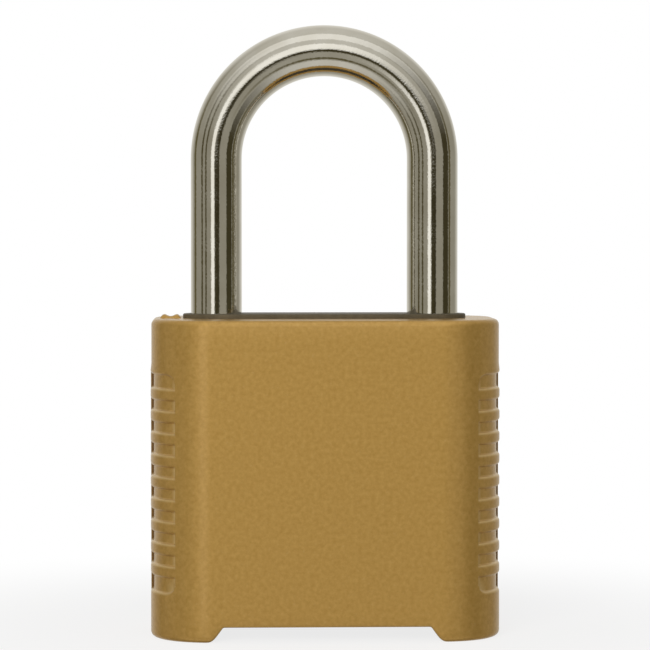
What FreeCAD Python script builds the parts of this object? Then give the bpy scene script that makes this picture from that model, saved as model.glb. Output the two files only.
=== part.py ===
import FreeCAD, Part
import math
import os

import Sketcher

# Four-dial combination padlock, stood on its two feet: +X right, +Y back, +Z up, sizes in mm

SIZES = {
    # Body shell: outer form, read from the photograph
    "width": 54.5,
    "depth": 28.0,
    "height": 49.4,
    "plan_corner": 9.5,
    "top_chamfer": 0.6,
    "foot_chamfer": 0.6,
    "foot_top_length": 11.25,
    "foot_length": 9.25,
    "notch_depth": 2.37,
    "notch_outer_chamfer": 0.35,
    # Grip grooves round the four corners
    "groove_end_inset": 3.75,
    "groove_depth": 0.5,
    "groove_height": 1.57,
    "groove_middle_count": 8,
    "groove_first_height": 2.1,
    "groove_last_height": 2.37,
    "grip_low_margin": 6.85,
    "grip_top_margin": 8.35,
    "groove_end_round": 1.5,
    "groove_run_out": 3.0,
    "groove_past_corner": 1.5,
    # Two small ribs on the top face, left of the seal
    "rib_inset": 3.05,
    "rib_pitch": 1.95,
    "rib_radius": 0.68,
    "rib_sink": 0.08,
    "rib_length": 3.2,
    "rib_foot_height": 0.3,
    "rib_foot_length": 3.4,
    # Hollows inside the shell
    "wall": 2.4,
    "plate_bottom": 3.0,
    "plate_thick": 1.2,
    "room_top": 22.0,
    "room_end_margin": 1.3,
    "wing_wall": 2.45,
    "wing_gap": 0.8,
    "post_slot_headroom": 0.8,
    "post_slot_into_bore": 1.0,
    # Shackle
    "shackle_radius": 4.0,
    "leg_inset": 10.25,
    "bow_rise": 25.1,
    "toe_depth": 14.0,
    "heel_gap": 0.3,
    "toe_chamfer": 0.8,
    "toe_floor_gap": 0.6,
    "bore_clearance": 0.08,
    "notch_above_end": 1.4,
    "notch_height": 8.0,
    "wedge_slope": 0.2625,
    "notch_roof_slope": 0.5,
    "spring_bore_radius": 1.9,
    "spring_bore_depth": 15.0,
    "clip_above_end": 0.85,
    "clip_thick": 0.6,
    "clip_radius": 5.0,
    "clip_neck_radius": 3.2,
    "clip_clearance": 0.05,
    "clip_mouth": 5.2,
    "heel_counterbore_radius": 5.3,
    "shackle_lift": 16.0,
    "lift_stop_gap": 0.35,
    # Seal on the top face
    "seal_radius": 5.3,
    "seal_proud": 0.63,
    "seal_sunk": 0.6,
    "seal_clearance": 0.05,
    # Dials and code sleeves
    "dial_count": 4,
    "row_end_room": 24.9,
    "dial_radius": 8.0,
    "dial_gap": 1.0,
    "dial_z": 9.8,
    "digit_count": 10,
    "flute_depth": 0.65,
    "flute_half_width": 0.95,
    "spline_low": 5.4,
    "spline_high": 5.9,
    "spline_width": 1.2,
    "spline_count": 5,
    "spline_clearance": 0.07,
    "sleeve_gap": 0.3,
    "sleeve_land": 2.2,
    "sleeve_recess_radius": 4.3,
    "gate_width": 2.7,
    "gate_radius": 4.15,
    # Spindle with its four lugs
    "spindle_radius": 2.58,
    "spindle_clearance": 0.07,
    "lug_radius": 3.9,
    "lug_width": 2.4,
    "lug_thick": 1.4,
    "lug_gap": 0.2,
    "spindle_end_gap": 0.5,
    "spindle_neck_radius": 1.9,
    "spindle_head_length": 1.0,
    "spindle_clip_radius": 4.2,
    "spindle_clip_thick": 0.5,
    "tenon_radius": 1.7,
    "tenon_proud": 0.5,
    "tenon_clearance": 0.05,
    # Dial cage
    "cheek_gap": 0.25,
    "cage_wall_gap": 0.1,
    "cheek": 2.4,
    "cage_plate_gap": 0.1,
    "roof_thick": 2.4,
    "tongue_gap": 1.0,
    "lug_hole_radius": 4.3,
    "cage_screw_inset": 1.6,
    # Locking carriage
    "arm_thick": 2.4,
    "arm_gap": 0.2,
    "arm_below_spindle": 3.8,
    "carriage_half_width": 5.0,
    "carriage_plate_thick": 1.2,
    "post_thick": 2.8,
    "post_leg_gap": 0.6,
    "post_half_width": 2.8,
    "slide_gap": 0.3,
    "wedge_gap": 0.15,
    "wedge_tip_drop": 0.2,
    # Springs
    "wire_radius": 0.2,
    "coil_sections": 8,
    "shackle_coil_radius": 1.44,
    "shackle_coil_turns": 7,
    "carriage_coil_radius": 3.3,
    "carriage_coil_turns": 3,
    "coil_end_gap": 0.05,
    "seat_pin_radius": 1.0,
    "seat_flange_radius": 1.6,
    "seat_flange_thick": 0.28,
    "seat_pin_above": 4.0,
    "seat_pin_below": 1.8,
    "seat_clearance": 0.03,
    # Detent spring
    "leaf_thick": 0.3,
    "leaf_width": 3.2,
    "leaf_end_gap": 1.2,
    "finger_stand_off": 1.2,
    "finger_width": 3.4,
    "finger_below_tip": 1.6,
    "finger_reach": 0.3,
    "finger_tip_half": 1.1,
    # Screws
    "plate_screw_inset": 6.45,
    "plate_screw_out": 1.2,
    "plate_screw_radius": 1.1,
    "plate_screw_head_radius": 1.95,
    "plate_screw_head_height": 0.75,
    "plate_screw_length": 9.0,
    "cage_screw_radius": 1.0,
    "cage_screw_head_radius": 1.7,
    "cage_screw_head_height": 1.2,
    "cage_screw_length": 6.0,
    "screw_clearance": 0.08,
    "thread_clearance": 0.02,
    # Bottom plate
    "plate_clearance": 0.1,
    "window_bar": 0.65,
    "window_half_length": 6.9,
    "index_width": 0.5,
    "index_length": 1.8,
    "index_depth": 0.3,
}

# Places worked out from the sizes above, each the only one of its kind
PLACES = {
    "notch_top_half": "width / 2 - foot_top_length",
    "notch_bottom_half": "width / 2 - foot_length",
    "leg_half_spacing": "width / 2 - leg_inset",
    "seal_half_length": "leg_half_spacing + seal_radius",
    "dial_pitch": "(width - row_end_room) / dial_count",
    "dial_width": "dial_pitch - dial_gap",
    "sleeve_length": "dial_pitch - sleeve_gap",
    "window_width": "dial_pitch - window_bar",
    "post_right": "leg_half_spacing - shackle_radius - post_leg_gap",
    "post_left": "post_right - post_thick",
    "groove_end_x": "width / 2 - groove_end_inset",
    "groove_end_y": "depth / 2 - plan_corner - groove_past_corner",
    "groove_count": "groove_middle_count + 1",
    "grip_low_z": "grip_low_margin",
    "grip_high_z": "height - grip_top_margin",
    "grip_rib": "(grip_high_z - grip_low_z - groove_last_height - groove_first_height"
                " - groove_middle_count * groove_height) / groove_count",
    "rib_x": "rib_inset - width / 2",
    "plate_top": "plate_bottom + plate_thick",
    "toe_end_z": "height - toe_depth",
    "heel_end_z": "room_top + heel_gap",
    "notch_low_z": "toe_end_z + notch_above_end",
    "wedge_tip_z": "notch_low_z + notch_height - wedge_tip_drop",
    "clip_low_z": "heel_end_z + clip_above_end",
    "carriage_stroke": "wedge_slope * shackle_lift",
    "row_half_length": "dial_pitch * (dial_count - 1) / 2 + sleeve_length / 2",
    "cage_inner_half": "row_half_length + cheek_gap",
    "cage_half_length": "cage_inner_half + cheek",
    "room_half_x": "cage_half_length + room_end_margin",
    "room_half_y": "depth / 2 - wall",
    "room_wing_half_x": "width / 2 - wing_wall",
    "room_wing_half_y": "carriage_half_width + wing_gap",
    "cage_half_depth": "room_half_y - cage_wall_gap",
    "cage_low_z": "plate_top + cage_plate_gap",
    "roof_low_z": "room_top - roof_thick",
    "carriage_plate_low_z": "dial_z + dial_radius + slide_gap",
    "carriage_plate_top_z": "carriage_plate_low_z + carriage_plate_thick",
    "arm_right": "-(cage_half_length + arm_gap)",
    "arm_left": "arm_right - arm_thick",
    "spindle_right": "room_wing_half_x - spindle_end_gap",
    "spindle_neck_x": "spindle_right - spindle_head_length",
    "leaf_outer_y": "dial_radius + finger_stand_off",
    "leaf_inner_y": "leaf_outer_y - leaf_width",
    "leaf_half_length": "cage_inner_half - leaf_end_gap",
    "cage_screw_x": "dial_pitch",
    "cage_screw_y": "leaf_outer_y - cage_screw_inset",
    "plate_screw_x": "width / 2 - plate_screw_inset",
    "plate_screw_y": "(room_wing_half_y + room_half_y) / 2 - plate_screw_out",
    "leg_bore": "shackle_radius + bore_clearance",
    "spindle_bore": "spindle_radius + spindle_clearance",
}

doc = FreeCAD.newDocument("padlock")
sheet = doc.addObject("Spreadsheet::Sheet", "Sizes")
for row, (alias, size) in enumerate(SIZES.items(), 1):
    sheet.set(f"A{row}", alias)
    sheet.set(f"B{row}", str(size))
    sheet.setAlias(f"B{row}", alias)
for row, (alias, rule) in enumerate(PLACES.items(), len(SIZES) + 1):
    sheet.set(f"A{row}", alias)
    sheet.set(f"B{row}", f"={rule}")
    sheet.setAlias(f"B{row}", alias)
doc.recompute()

NODES = []


# Helpers

def value(expression):
    """The number that an expression of the sheet's sizes gives now."""
    return float(sheet.evalExpression(str(expression)))


def full(expression):
    """An expression whose size names carry the sheet's name, ready to bind."""
    words = []
    word = ""
    for letter in str(expression) + " ":
        if letter.isalnum() or letter in "_.":
            word += letter
            continue
        known = word in SIZES or word in PLACES
        words.append("Sizes." + word if known else word)
        words.append(letter)
        word = ""
    return "".join(words).strip()


def bind(thing, prop, expression):
    thing.setExpression(prop, full(expression))


def new_body(label):
    body = doc.addObject("PartDesign::Body", label)
    body.Label = label
    return body


def keep(thing, label):
    """Name a finished sub-part, to be written out at the end."""
    thing.Label = label
    NODES.append((label, thing))
    return thing


def origin_part(body, role):
    for feature in body.Origin.OriginFeatures:
        if feature.Role == role:
            return feature
    raise ValueError(role)


def new_sketch(body, name, role, offset=None):
    sketch = body.newObject("Sketcher::SketchObject", name)
    sketch.AttachmentSupport = [(origin_part(body, role), "")]
    sketch.MapMode = "FlatFace"
    if offset is not None:
        bind(sketch, "AttachmentOffset.Base.z", offset)
    return sketch


def arc_between(start, end, radius):
    """An arc from start to end; a positive radius runs anticlockwise."""
    middle = (start + end) * 0.5
    chord = end - start
    side = FreeCAD.Vector(-chord.y, chord.x, 0).normalize()
    reach = math.sqrt(max(radius * radius - chord.Length ** 2 / 4, 0.0))
    centre = middle + side * (reach if radius > 0 else -reach)
    first, last = (start, end) if radius > 0 else (end, start)
    angle_a = math.atan2(first.y - centre.y, first.x - centre.x)
    angle_b = math.atan2(last.y - centre.y, last.x - centre.x)
    if angle_b < angle_a:
        angle_b += 2 * math.pi
    circle = Part.Circle(centre, FreeCAD.Vector(0, 0, 1), abs(radius))
    return Part.ArcOfCircle(circle, angle_a, angle_b)


def add_loop(sketch, corners):
    """A closed outline; a corner's third entry is the radius of the arc that leaves it."""
    points = [FreeCAD.Vector(value(c[0]), value(c[1]), 0) for c in corners]
    count = len(corners)
    base = sketch.GeometryCount
    ends = []
    for k, corner in enumerate(corners):
        start = points[k]
        end = points[(k + 1) % count]
        if len(corner) == 2:
            sketch.addGeometry(Part.LineSegment(start, end), False)
            ends.append((1, 2))
        else:
            radius = value(corner[2])
            sketch.addGeometry(arc_between(start, end, radius), False)
            ends.append((1, 2) if radius > 0 else (2, 1))
            sign = "" if radius > 0 else "-"
            number = sketch.addConstraint(Sketcher.Constraint("Radius", base + k, abs(radius)))
            bind(sketch, f"Constraints[{number}]", f"{sign}({corner[2]})")
    for k in range(count):
        after = (k + 1) % count
        sketch.addConstraint(
            Sketcher.Constraint("Coincident", base + k, ends[k][1], base + after, ends[after][0]))
    for k, corner in enumerate(corners):
        for kind, entry, now in (("DistanceX", corner[0], points[k].x), ("DistanceY", corner[1], points[k].y)):
            number = sketch.addConstraint(
                Sketcher.Constraint(kind, -1, 1, base + k, ends[k][0], now))
            bind(sketch, f"Constraints[{number}]", entry)


def add_circle(sketch, x, y, radius):
    centre = FreeCAD.Vector(value(x), value(y), 0)
    index = sketch.addGeometry(
        Part.Circle(centre, FreeCAD.Vector(0, 0, 1), value(radius)), False)
    number = sketch.addConstraint(Sketcher.Constraint("Radius", index, value(radius)))
    bind(sketch, f"Constraints[{number}]", radius)
    for kind, entry, now in (("DistanceX", x, centre.x), ("DistanceY", y, centre.y)):
        number = sketch.addConstraint(Sketcher.Constraint(kind, -1, 1, index, 3, now))
        bind(sketch, f"Constraints[{number}]", entry)


def box_loop(left, low, right, high):
    return [(left, low), (right, low), (right, high), (left, high)]


def rounded_loop(half_x, half_y, radius):
    """A rounded rectangle about the origin, anticlockwise."""
    x_in = f"{half_x} - ({radius})"
    y_in = f"{half_y} - ({radius})"
    return [
        (f"-({x_in})", f"-({half_y})"),
        (x_in, f"-({half_y})", radius),
        (half_x, f"-({y_in})"),
        (half_x, y_in, radius),
        (x_in, half_y),
        (f"-({x_in})", half_y, radius),
        (f"-({half_x})", y_in),
        (f"-({half_x})", f"-({y_in})", radius),
    ]


def obround_loop(half_length, radius):
    straight = f"{half_length} - ({radius})"
    return [
        (f"-({straight})", f"-({radius})"),
        (straight, f"-({radius})", radius),
        (half_length, "0", radius),
        (straight, radius),
        (f"-({straight})", radius, radius),
        (f"-({half_length})", "0", radius),
    ]


def solid_now(body):
    return body.Shape.Volume if body.Tip and not body.Shape.isNull() else 0.0


def extrude(body, kind, name, sketch, length, middle=False, back=False):
    """Pad or pocket a sketch; stops if it leaves the body's volume as it was."""
    before = solid_now(body)
    feature = body.newObject("PartDesign::" + kind, name)
    feature.Profile = sketch
    if middle:
        feature.Midplane = True
    if back:
        feature.Reversed = True
    bind(feature, "Length", length)
    sketch.Visibility = False
    body.Tip = feature
    doc.recompute()
    if abs(solid_now(body) - before) < 1e-6:
        raise ValueError(f"{body.Label}: {name} changes nothing")
    return feature


def pad(body, name, sketch, length, middle=False, back=False):
    return extrude(body, "Pad", name, sketch, length, middle, back)


def pocket(body, name, sketch, length, middle=False, back=False):
    return extrude(body, "Pocket", name, sketch, length, middle, back)


def round_edges(body, kind, name, size, test):
    """Fillet or chamfer the edges of the tip that pass a test on their middle and box."""
    last = body.Tip
    picked = [f"Edge{k}" for k, edge in enumerate(last.Shape.Edges, 1) if test(edge)]
    if not picked:
        raise ValueError(f"{body.Label}: {name} finds no edge")
    feature = body.newObject("PartDesign::" + kind, name)
    feature.Base = (last, picked)
    bind(feature, "Radius" if kind == "Fillet" else "Size", size)
    body.Tip = feature
    doc.recompute()
    if feature.Shape.isNull():
        raise ValueError(f"{body.Label}: {name} fails")
    return feature


def pattern_round(body, name, originals, axis_role, count):
    feature = body.newObject("PartDesign::PolarPattern", name)
    feature.Originals = originals
    feature.Axis = (origin_part(body, axis_role), [""])
    feature.Angle = 360
    body.Tip = feature
    bind(feature, "Occurrences", count)
    doc.recompute()
    return feature


def pattern_line(body, name, originals, axis_role, length, count):
    feature = body.newObject("PartDesign::LinearPattern", name)
    feature.Originals = originals
    feature.Direction = (origin_part(body, axis_role), [""])
    bind(feature, "Length", length)
    body.Tip = feature
    bind(feature, "Occurrences", count)
    doc.recompute()
    return feature


def mirrored_pair(source, name, normal):
    """A compound of a thing and its mirror image through the origin."""
    twin = doc.addObject("Part::Mirroring", name + "_twin")
    twin.Source = source
    twin.Base = FreeCAD.Vector(0, 0, 0)
    twin.Normal = normal
    pair = doc.addObject("Part::Compound", name)
    pair.Links = [source, twin]
    doc.recompute()
    return pair


def centre_of(edge):
    return edge.BoundBox.Center


def along(edge, axis):
    """True for a straight edge that runs along one axis."""
    box = edge.BoundBox
    spans = {"x": box.XLength, "y": box.YLength, "z": box.ZLength}
    others = [spans[k] for k in spans if k != axis]
    return spans[axis] > 0.05 and max(others) < 1e-4


def near(a, b, room=0.02):
    return abs(a - b) < room


# Body shell

def shell_outside(body):
    plan = new_sketch(body, "shell_plan", "XY_Plane")
    add_loop(plan, rounded_loop("width / 2", "depth / 2", "plan_corner"))
    pad(body, "shell_block", plan, "height")
    top = value("height")
    round_edges(body, "Chamfer", "shell_top_edge", "top_chamfer",
                lambda e: near(centre_of(e).z, top) and e.BoundBox.ZLength < 0.01)
    round_edges(body, "Chamfer", "shell_foot_edge", "foot_chamfer",
                lambda e: near(centre_of(e).z, 0) and e.BoundBox.ZLength < 0.01)
    notch = new_sketch(body, "shell_notch_outline", "XZ_Plane")
    add_loop(notch, [
        ("-(notch_bottom_half + 1)", "-(notch_depth / 2)"),
        ("notch_bottom_half + 1", "-(notch_depth / 2)"),
        ("notch_bottom_half", "0"),
        ("notch_top_half", "notch_depth"),
        ("-notch_top_half", "notch_depth"),
        ("-notch_bottom_half", "0"),
    ])
    pocket(body, "shell_notch", notch, "depth * 2", middle=True)
    outer_x = value("notch_bottom_half")
    round_edges(body, "Chamfer", "shell_notch_edge", "notch_outer_chamfer",
                lambda e: along(e, "y") and near(abs(centre_of(e).x), outer_x)
                and near(centre_of(e).z, 0))


def groove_levels():
    """Low level, height and rounded end of each groove, from the lowest up."""
    levels = [("grip_low_z", "groove_last_height", "low")]
    step = "(groove_height + grip_rib)"
    for k in range(SIZES["groove_middle_count"]):
        low = f"grip_low_z + groove_last_height + grip_rib + {k} * {step}"
        levels.append((low, "groove_height", ""))
    levels.append(("grip_high_z - groove_first_height", "groove_first_height", "high"))
    return levels


def comb_loop():
    """The outline of one corner's grooves, joined by a spine outside the shell."""
    spine = "(width / 2 + 1)"
    out_x = "(width / 2 + groove_run_out)"
    inner = "(groove_end_x + groove_end_round)"
    corners = [(out_x, "grip_low_z"), (out_x, "grip_high_z")]
    for low, high, rounded in reversed(groove_levels()):
        top = f"({low}) + {high}"
        if rounded == "high":
            corners.append((inner, top, "groove_end_round"))
            corners.append(("groove_end_x", f"{top} - groove_end_round"))
        else:
            corners.append((spine, top))
            corners.append(("groove_end_x", top))
        if rounded == "low":
            corners.append(("groove_end_x", f"({low}) + groove_end_round", "groove_end_round"))
            corners.append((inner, low))
        else:
            corners.append(("groove_end_x", low))
            corners.append((spine, low))
    return corners


def make_grip_cutters():
    """What the grooves take away at the four corners: combs without the core inside the groove floors."""
    comb = new_body("grip_comb")
    outline = new_sketch(comb, "grip_outline", "XZ_Plane", "groove_end_y")
    add_loop(outline, comb_loop())
    pad(comb, "grip_strips", outline, "depth / 2 + groove_run_out - groove_end_y")
    core = new_sketch(comb, "grip_core_outline", "XY_Plane", "height")
    add_loop(core, rounded_loop("(width / 2 - groove_depth)", "(depth / 2 - groove_depth)",
                                "(plan_corner - groove_depth)"))
    pocket(comb, "grip_core", core, "height * 2")
    pair = mirrored_pair(comb, "grip_cutters_right", FreeCAD.Vector(0, 1, 0))
    return mirrored_pair(pair, "grip_cutters", FreeCAD.Vector(1, 0, 0))


def shell_top_ribs(body):
    foot = new_sketch(body, "rib_foot_outline", "XZ_Plane")
    add_loop(foot, box_loop("rib_x - rib_pitch / 2 - rib_radius", "height - rib_foot_height",
                            "rib_x + rib_pitch / 2 + rib_radius", "height + rib_foot_height"))
    pad(body, "rib_foot", foot, "rib_foot_length", middle=True)
    ribs = new_sketch(body, "rib_outline", "XZ_Plane")
    for sign in ("-", "+"):
        add_circle(ribs, f"rib_x {sign} rib_pitch / 2", "height - rib_sink", "rib_radius")
    pad(body, "ribs", ribs, "rib_length", middle=True)


def shell_hollows(body):
    seal = new_sketch(body, "seal_recess_outline", "XY_Plane", "height")
    add_loop(seal, obround_loop("seal_half_length", "seal_radius"))
    pocket(body, "seal_recess", seal, "seal_sunk")
    plate = new_sketch(body, "plate_recess_outline", "XY_Plane", "plate_top")
    add_loop(plate, rounded_loop("width / 2 - wall", "depth / 2 - wall", "plan_corner - wall"))
    pocket(body, "plate_recess", plate, "plate_top + 1")
    room = new_sketch(body, "room_outline", "XY_Plane", "room_top")
    wing_x, wing_y = "room_wing_half_x", "room_wing_half_y"
    half_x, half_y = "room_half_x", "room_half_y"
    add_loop(room, [
        (f"-{wing_x}", f"-{wing_y}"), (f"-{half_x}", f"-{wing_y}"), (f"-{half_x}", f"-{half_y}"),
        (half_x, f"-{half_y}"), (half_x, f"-{wing_y}"), (wing_x, f"-{wing_y}"),
        (wing_x, wing_y), (half_x, wing_y), (half_x, half_y),
        (f"-{half_x}", half_y), (f"-{half_x}", wing_y), (f"-{wing_x}", wing_y),
    ])
    pocket(body, "room", room, "room_top - plate_top + 0.5")
    heel = new_sketch(body, "heel_bore_outline", "XY_Plane", "height")
    add_circle(heel, "-leg_half_spacing", "0", "leg_bore")
    pocket(body, "heel_bore", heel, "height - room_top + 0.5")
    toe = new_sketch(body, "toe_bore_outline", "XY_Plane", "height")
    add_circle(toe, "leg_half_spacing", "0", "leg_bore")
    pocket(body, "toe_bore", toe, "height - toe_end_z + toe_floor_gap")
    counterbore = new_sketch(body, "heel_counterbore_outline", "XY_Plane", "room_top - 0.5")
    add_circle(counterbore, "-leg_half_spacing", "0", "heel_counterbore_radius")
    pocket(body, "heel_counterbore", counterbore,
           "clip_low_z + clip_thick + shackle_lift + lift_stop_gap - room_top + 0.5", back=True)
    slot = new_sketch(body, "post_slot_outline", "XY_Plane", "room_top - 0.5")
    add_loop(slot, box_loop("post_left - carriage_stroke - slide_gap",
                            "-(post_half_width + slide_gap)",
                            "leg_half_spacing - shackle_radius + post_slot_into_bore",
                            "post_half_width + slide_gap"))
    rise = "notch_roof_slope * (leg_half_spacing - shackle_radius - post_right)"
    pocket(body, "post_slot", slot,
           f"wedge_tip_z + {rise} + 1 + post_slot_headroom - room_top + 0.5", back=True)
    holes = new_sketch(body, "plate_thread_outline", "XY_Plane", "plate_top")
    tight = new_sketch(body, "cage_thread_outline", "XY_Plane", "room_top")
    for x_sign in ("-", ""):
        for y_sign in ("-", ""):
            add_circle(holes, f"{x_sign}plate_screw_x", f"{y_sign}plate_screw_y",
                       "plate_screw_radius + thread_clearance")
        add_circle(tight, f"{x_sign}cage_screw_x", "cage_screw_y", "cage_screw_radius + thread_clearance")
    pocket(body, "plate_threads", holes, "plate_screw_length", back=True)
    pocket(body, "cage_threads", tight, "cage_screw_length - roof_thick + 0.5", back=True)


def make_shell():
    body = new_body("shell_casting")
    shell_outside(body)
    shell_top_ribs(body)
    shell_hollows(body)
    shell = doc.addObject("Part::Cut", "body_shell")
    shell.Base = body
    shell.Tool = make_grip_cutters()
    doc.recompute()
    keep(shell, "body_shell")


# Shackle and what rides on it or is pushed by it

def make_shackle():
    body = new_body("shackle")
    section = new_sketch(body, "bow_section", "XY_Plane", "height + bow_rise")
    add_circle(section, "leg_half_spacing", "0", "shackle_radius")
    bow = body.newObject("PartDesign::Revolution", "bow")
    bow.Profile = section
    bow.ReferenceAxis = (section, ["V_Axis"])
    bow.Angle = 180
    bow.Reversed = True
    body.Tip = bow
    doc.recompute()
    for name, x, end in (("toe_leg", "leg_half_spacing", "toe_end_z"),
                         ("heel_leg", "-leg_half_spacing", "heel_end_z")):
        circle = new_sketch(body, name + "_section", "XY_Plane", "height + bow_rise")
        add_circle(circle, x, "0", "shackle_radius")
        pad(body, name, circle, f"height + bow_rise - {end}", back=True)
    ends = [value("toe_end_z"), value("heel_end_z")]
    round_edges(body, "Chamfer", "toe_chamfer", "toe_chamfer",
                lambda e: near(centre_of(e).z, ends[0]) and e.BoundBox.ZLength < 0.01)
    spring_bore = new_sketch(body, "spring_bore_outline", "XY_Plane", "heel_end_z")
    add_circle(spring_bore, "-leg_half_spacing", "0", "spring_bore_radius")
    pocket(body, "spring_bore", spring_bore, "spring_bore_depth", back=True)
    neck = new_sketch(body, "clip_neck_outline", "XY_Plane", "clip_low_z - clip_clearance")
    add_circle(neck, "-leg_half_spacing", "0", "shackle_radius + 1")
    add_circle(neck, "-leg_half_spacing", "0", "clip_neck_radius")
    pocket(body, "clip_neck", neck, "clip_thick + 2 * clip_clearance", back=True)
    notch = new_sketch(body, "lock_notch_outline", "XZ_Plane")
    inner = "leg_half_spacing - shackle_radius"
    add_loop(notch, [
        (f"{inner} - 1", "notch_low_z - 1 / wedge_slope"),
        (f"{inner} + wedge_slope * notch_height", "notch_low_z + notch_height"),
        (f"{inner} - 1",
         "notch_low_z + notch_height + notch_roof_slope * (1 + wedge_slope * notch_height)"),
    ])
    pocket(body, "lock_notch", notch, "shackle_radius * 3", middle=True)
    keep(body, "shackle")


def make_ring_clip(label, role, height_offset, thick, x, outer, inner, mouth):
    """A flat ring with an open mouth on its far side, as clips for a grooved rod have."""
    body = new_body(label)
    ring = new_sketch(body, label + "_ring", role, height_offset)
    flat = role == "XY_Plane"
    add_circle(ring, x, "0" if flat else "dial_z", outer)
    add_circle(ring, x, "0" if flat else "dial_z", inner)
    pad(body, label + "_blank", ring, thick)
    gap = new_sketch(body, label + "_mouth_outline", role, height_offset)
    if flat:
        add_loop(gap, box_loop(f"{x} - ({outer}) - 1", f"-({mouth}) / 2", x, f"({mouth}) / 2"))
    else:
        add_loop(gap, box_loop(f"-({mouth}) / 2", f"dial_z - ({outer}) - 1", f"({mouth}) / 2", "dial_z"))
    pocket(body, label + "_mouth", gap, thick, back=True)
    keep(body, label)


def make_clips():
    make_ring_clip("shackle_clip", "XY_Plane", "clip_low_z", "clip_thick", "-leg_half_spacing",
                   "clip_radius", "clip_neck_radius + clip_clearance", "clip_mouth")
    make_ring_clip("spindle_clip", "YZ_Plane", "spindle_neck_x + clip_clearance",
                   "spindle_clip_thick", "0", "spindle_clip_radius",
                   "spindle_neck_radius + clip_clearance", "spindle_neck_radius * 1.6")


def make_coil(label, axis, start, height, centre, coil_radius, turns):
    """A coil of square wire along Z or X: one ruled loft through sections set round the axis."""
    steps = int(value(turns) * value("coil_sections"))
    wire = value("wire_radius") * math.sqrt(2)
    low = value(start) + wire
    climb = value(height) - 2 * wire
    across = value(centre)
    radius = value(coil_radius)
    wires = []
    for step in range(steps + 1):
        angle = 2 * math.pi * step * value(turns) / steps
        level = low + climb * step / steps
        points = []
        for out, up in ((-wire, 0), (0, -wire), (wire, 0), (0, wire)):
            reach = radius + out
            side_a = reach * math.cos(angle)
            side_b = reach * math.sin(angle)
            if axis == "z":
                points.append(FreeCAD.Vector(across + side_a, side_b, level + up))
            else:
                points.append(FreeCAD.Vector(level + up, side_a, across + side_b))
        wires.append(Part.makePolygon(points + points[:1]))
    coil = doc.addObject("Part::Feature", label)
    coil.Shape = Part.makeLoft(wires, True, True)
    keep(coil, label)


def make_springs():
    seat_top = "room_top + seat_flange_thick"
    bore_top = "heel_end_z + spring_bore_depth"
    make_coil("shackle_spring", "z", f"{seat_top} + coil_end_gap",
              f"{bore_top} - ({seat_top}) - 2 * coil_end_gap", "-leg_half_spacing",
              "shackle_coil_radius", "shackle_coil_turns")
    make_coil("carriage_spring", "x", "cage_half_length + coil_end_gap",
              "spindle_neck_x + clip_clearance - cage_half_length - 2 * coil_end_gap",
              "dial_z", "carriage_coil_radius", "carriage_coil_turns")


def make_spring_seat():
    body = new_body("spring_seat")
    flange = new_sketch(body, "seat_flange_outline", "XY_Plane", "room_top")
    add_circle(flange, "-leg_half_spacing", "0", "seat_flange_radius")
    pad(body, "seat_flange", flange, "seat_flange_thick")
    pin = new_sketch(body, "seat_pin_outline", "XY_Plane", "room_top - seat_pin_below")
    add_circle(pin, "-leg_half_spacing", "0", "seat_pin_radius")
    pad(body, "seat_pin", pin, "seat_pin_above + seat_pin_below")
    keep(body, "spring_seat")


def make_seal():
    body = new_body("shackle_seal")
    outline = new_sketch(body, "seal_outline", "XY_Plane", "height - seal_sunk")
    add_loop(outline, obround_loop("(seal_half_length - seal_clearance)",
                                   "(seal_radius - seal_clearance)"))
    for sign in ("-", ""):
        add_circle(outline, f"{sign}leg_half_spacing", "0", "leg_bore")
    pad(body, "seal_slab", outline, "seal_sunk + seal_proud")
    keep(body, "shackle_seal")


# Dials and code sleeves

def dial_x(index):
    return f"dial_pitch * ({index} - (dial_count - 1) / 2)"


def make_dial(index):
    label = f"dial_{index + 1}"
    body = new_body(label)
    low = f"{dial_x(index)} - dial_width / 2"
    ring = new_sketch(body, label + "_ring", "YZ_Plane", low)
    add_circle(ring, "0", "0", "dial_radius")
    add_circle(ring, "0", "0", "spline_low + spline_clearance")
    pad(body, label + "_blank", ring, "dial_width")
    flute = new_sketch(body, label + "_flute_outline", "YZ_Plane", low)
    add_loop(flute, [
        ("dial_radius - flute_depth", "0"), ("dial_radius + flute_depth", "-2 * flute_half_width"),
        ("dial_radius + flute_depth", "2 * flute_half_width"),
    ])
    first = pocket(body, label + "_flute", flute, "dial_width", back=True)
    pattern_round(body, label + "_flutes", [first], "X_Axis", "digit_count")
    key = new_sketch(body, label + "_key_outline", "YZ_Plane", low)
    half = "(spline_width / 2 + spline_clearance)"
    add_loop(key, box_loop("spline_low - 0.5", f"-{half}", "spline_high + spline_clearance", half))
    first = pocket(body, label + "_key", key, "dial_width", back=True)
    pattern_round(body, label + "_keys", [first], "X_Axis", "digit_count")
    bind(body, "Placement.Base.z", "dial_z")
    keep(body, label)


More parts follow.
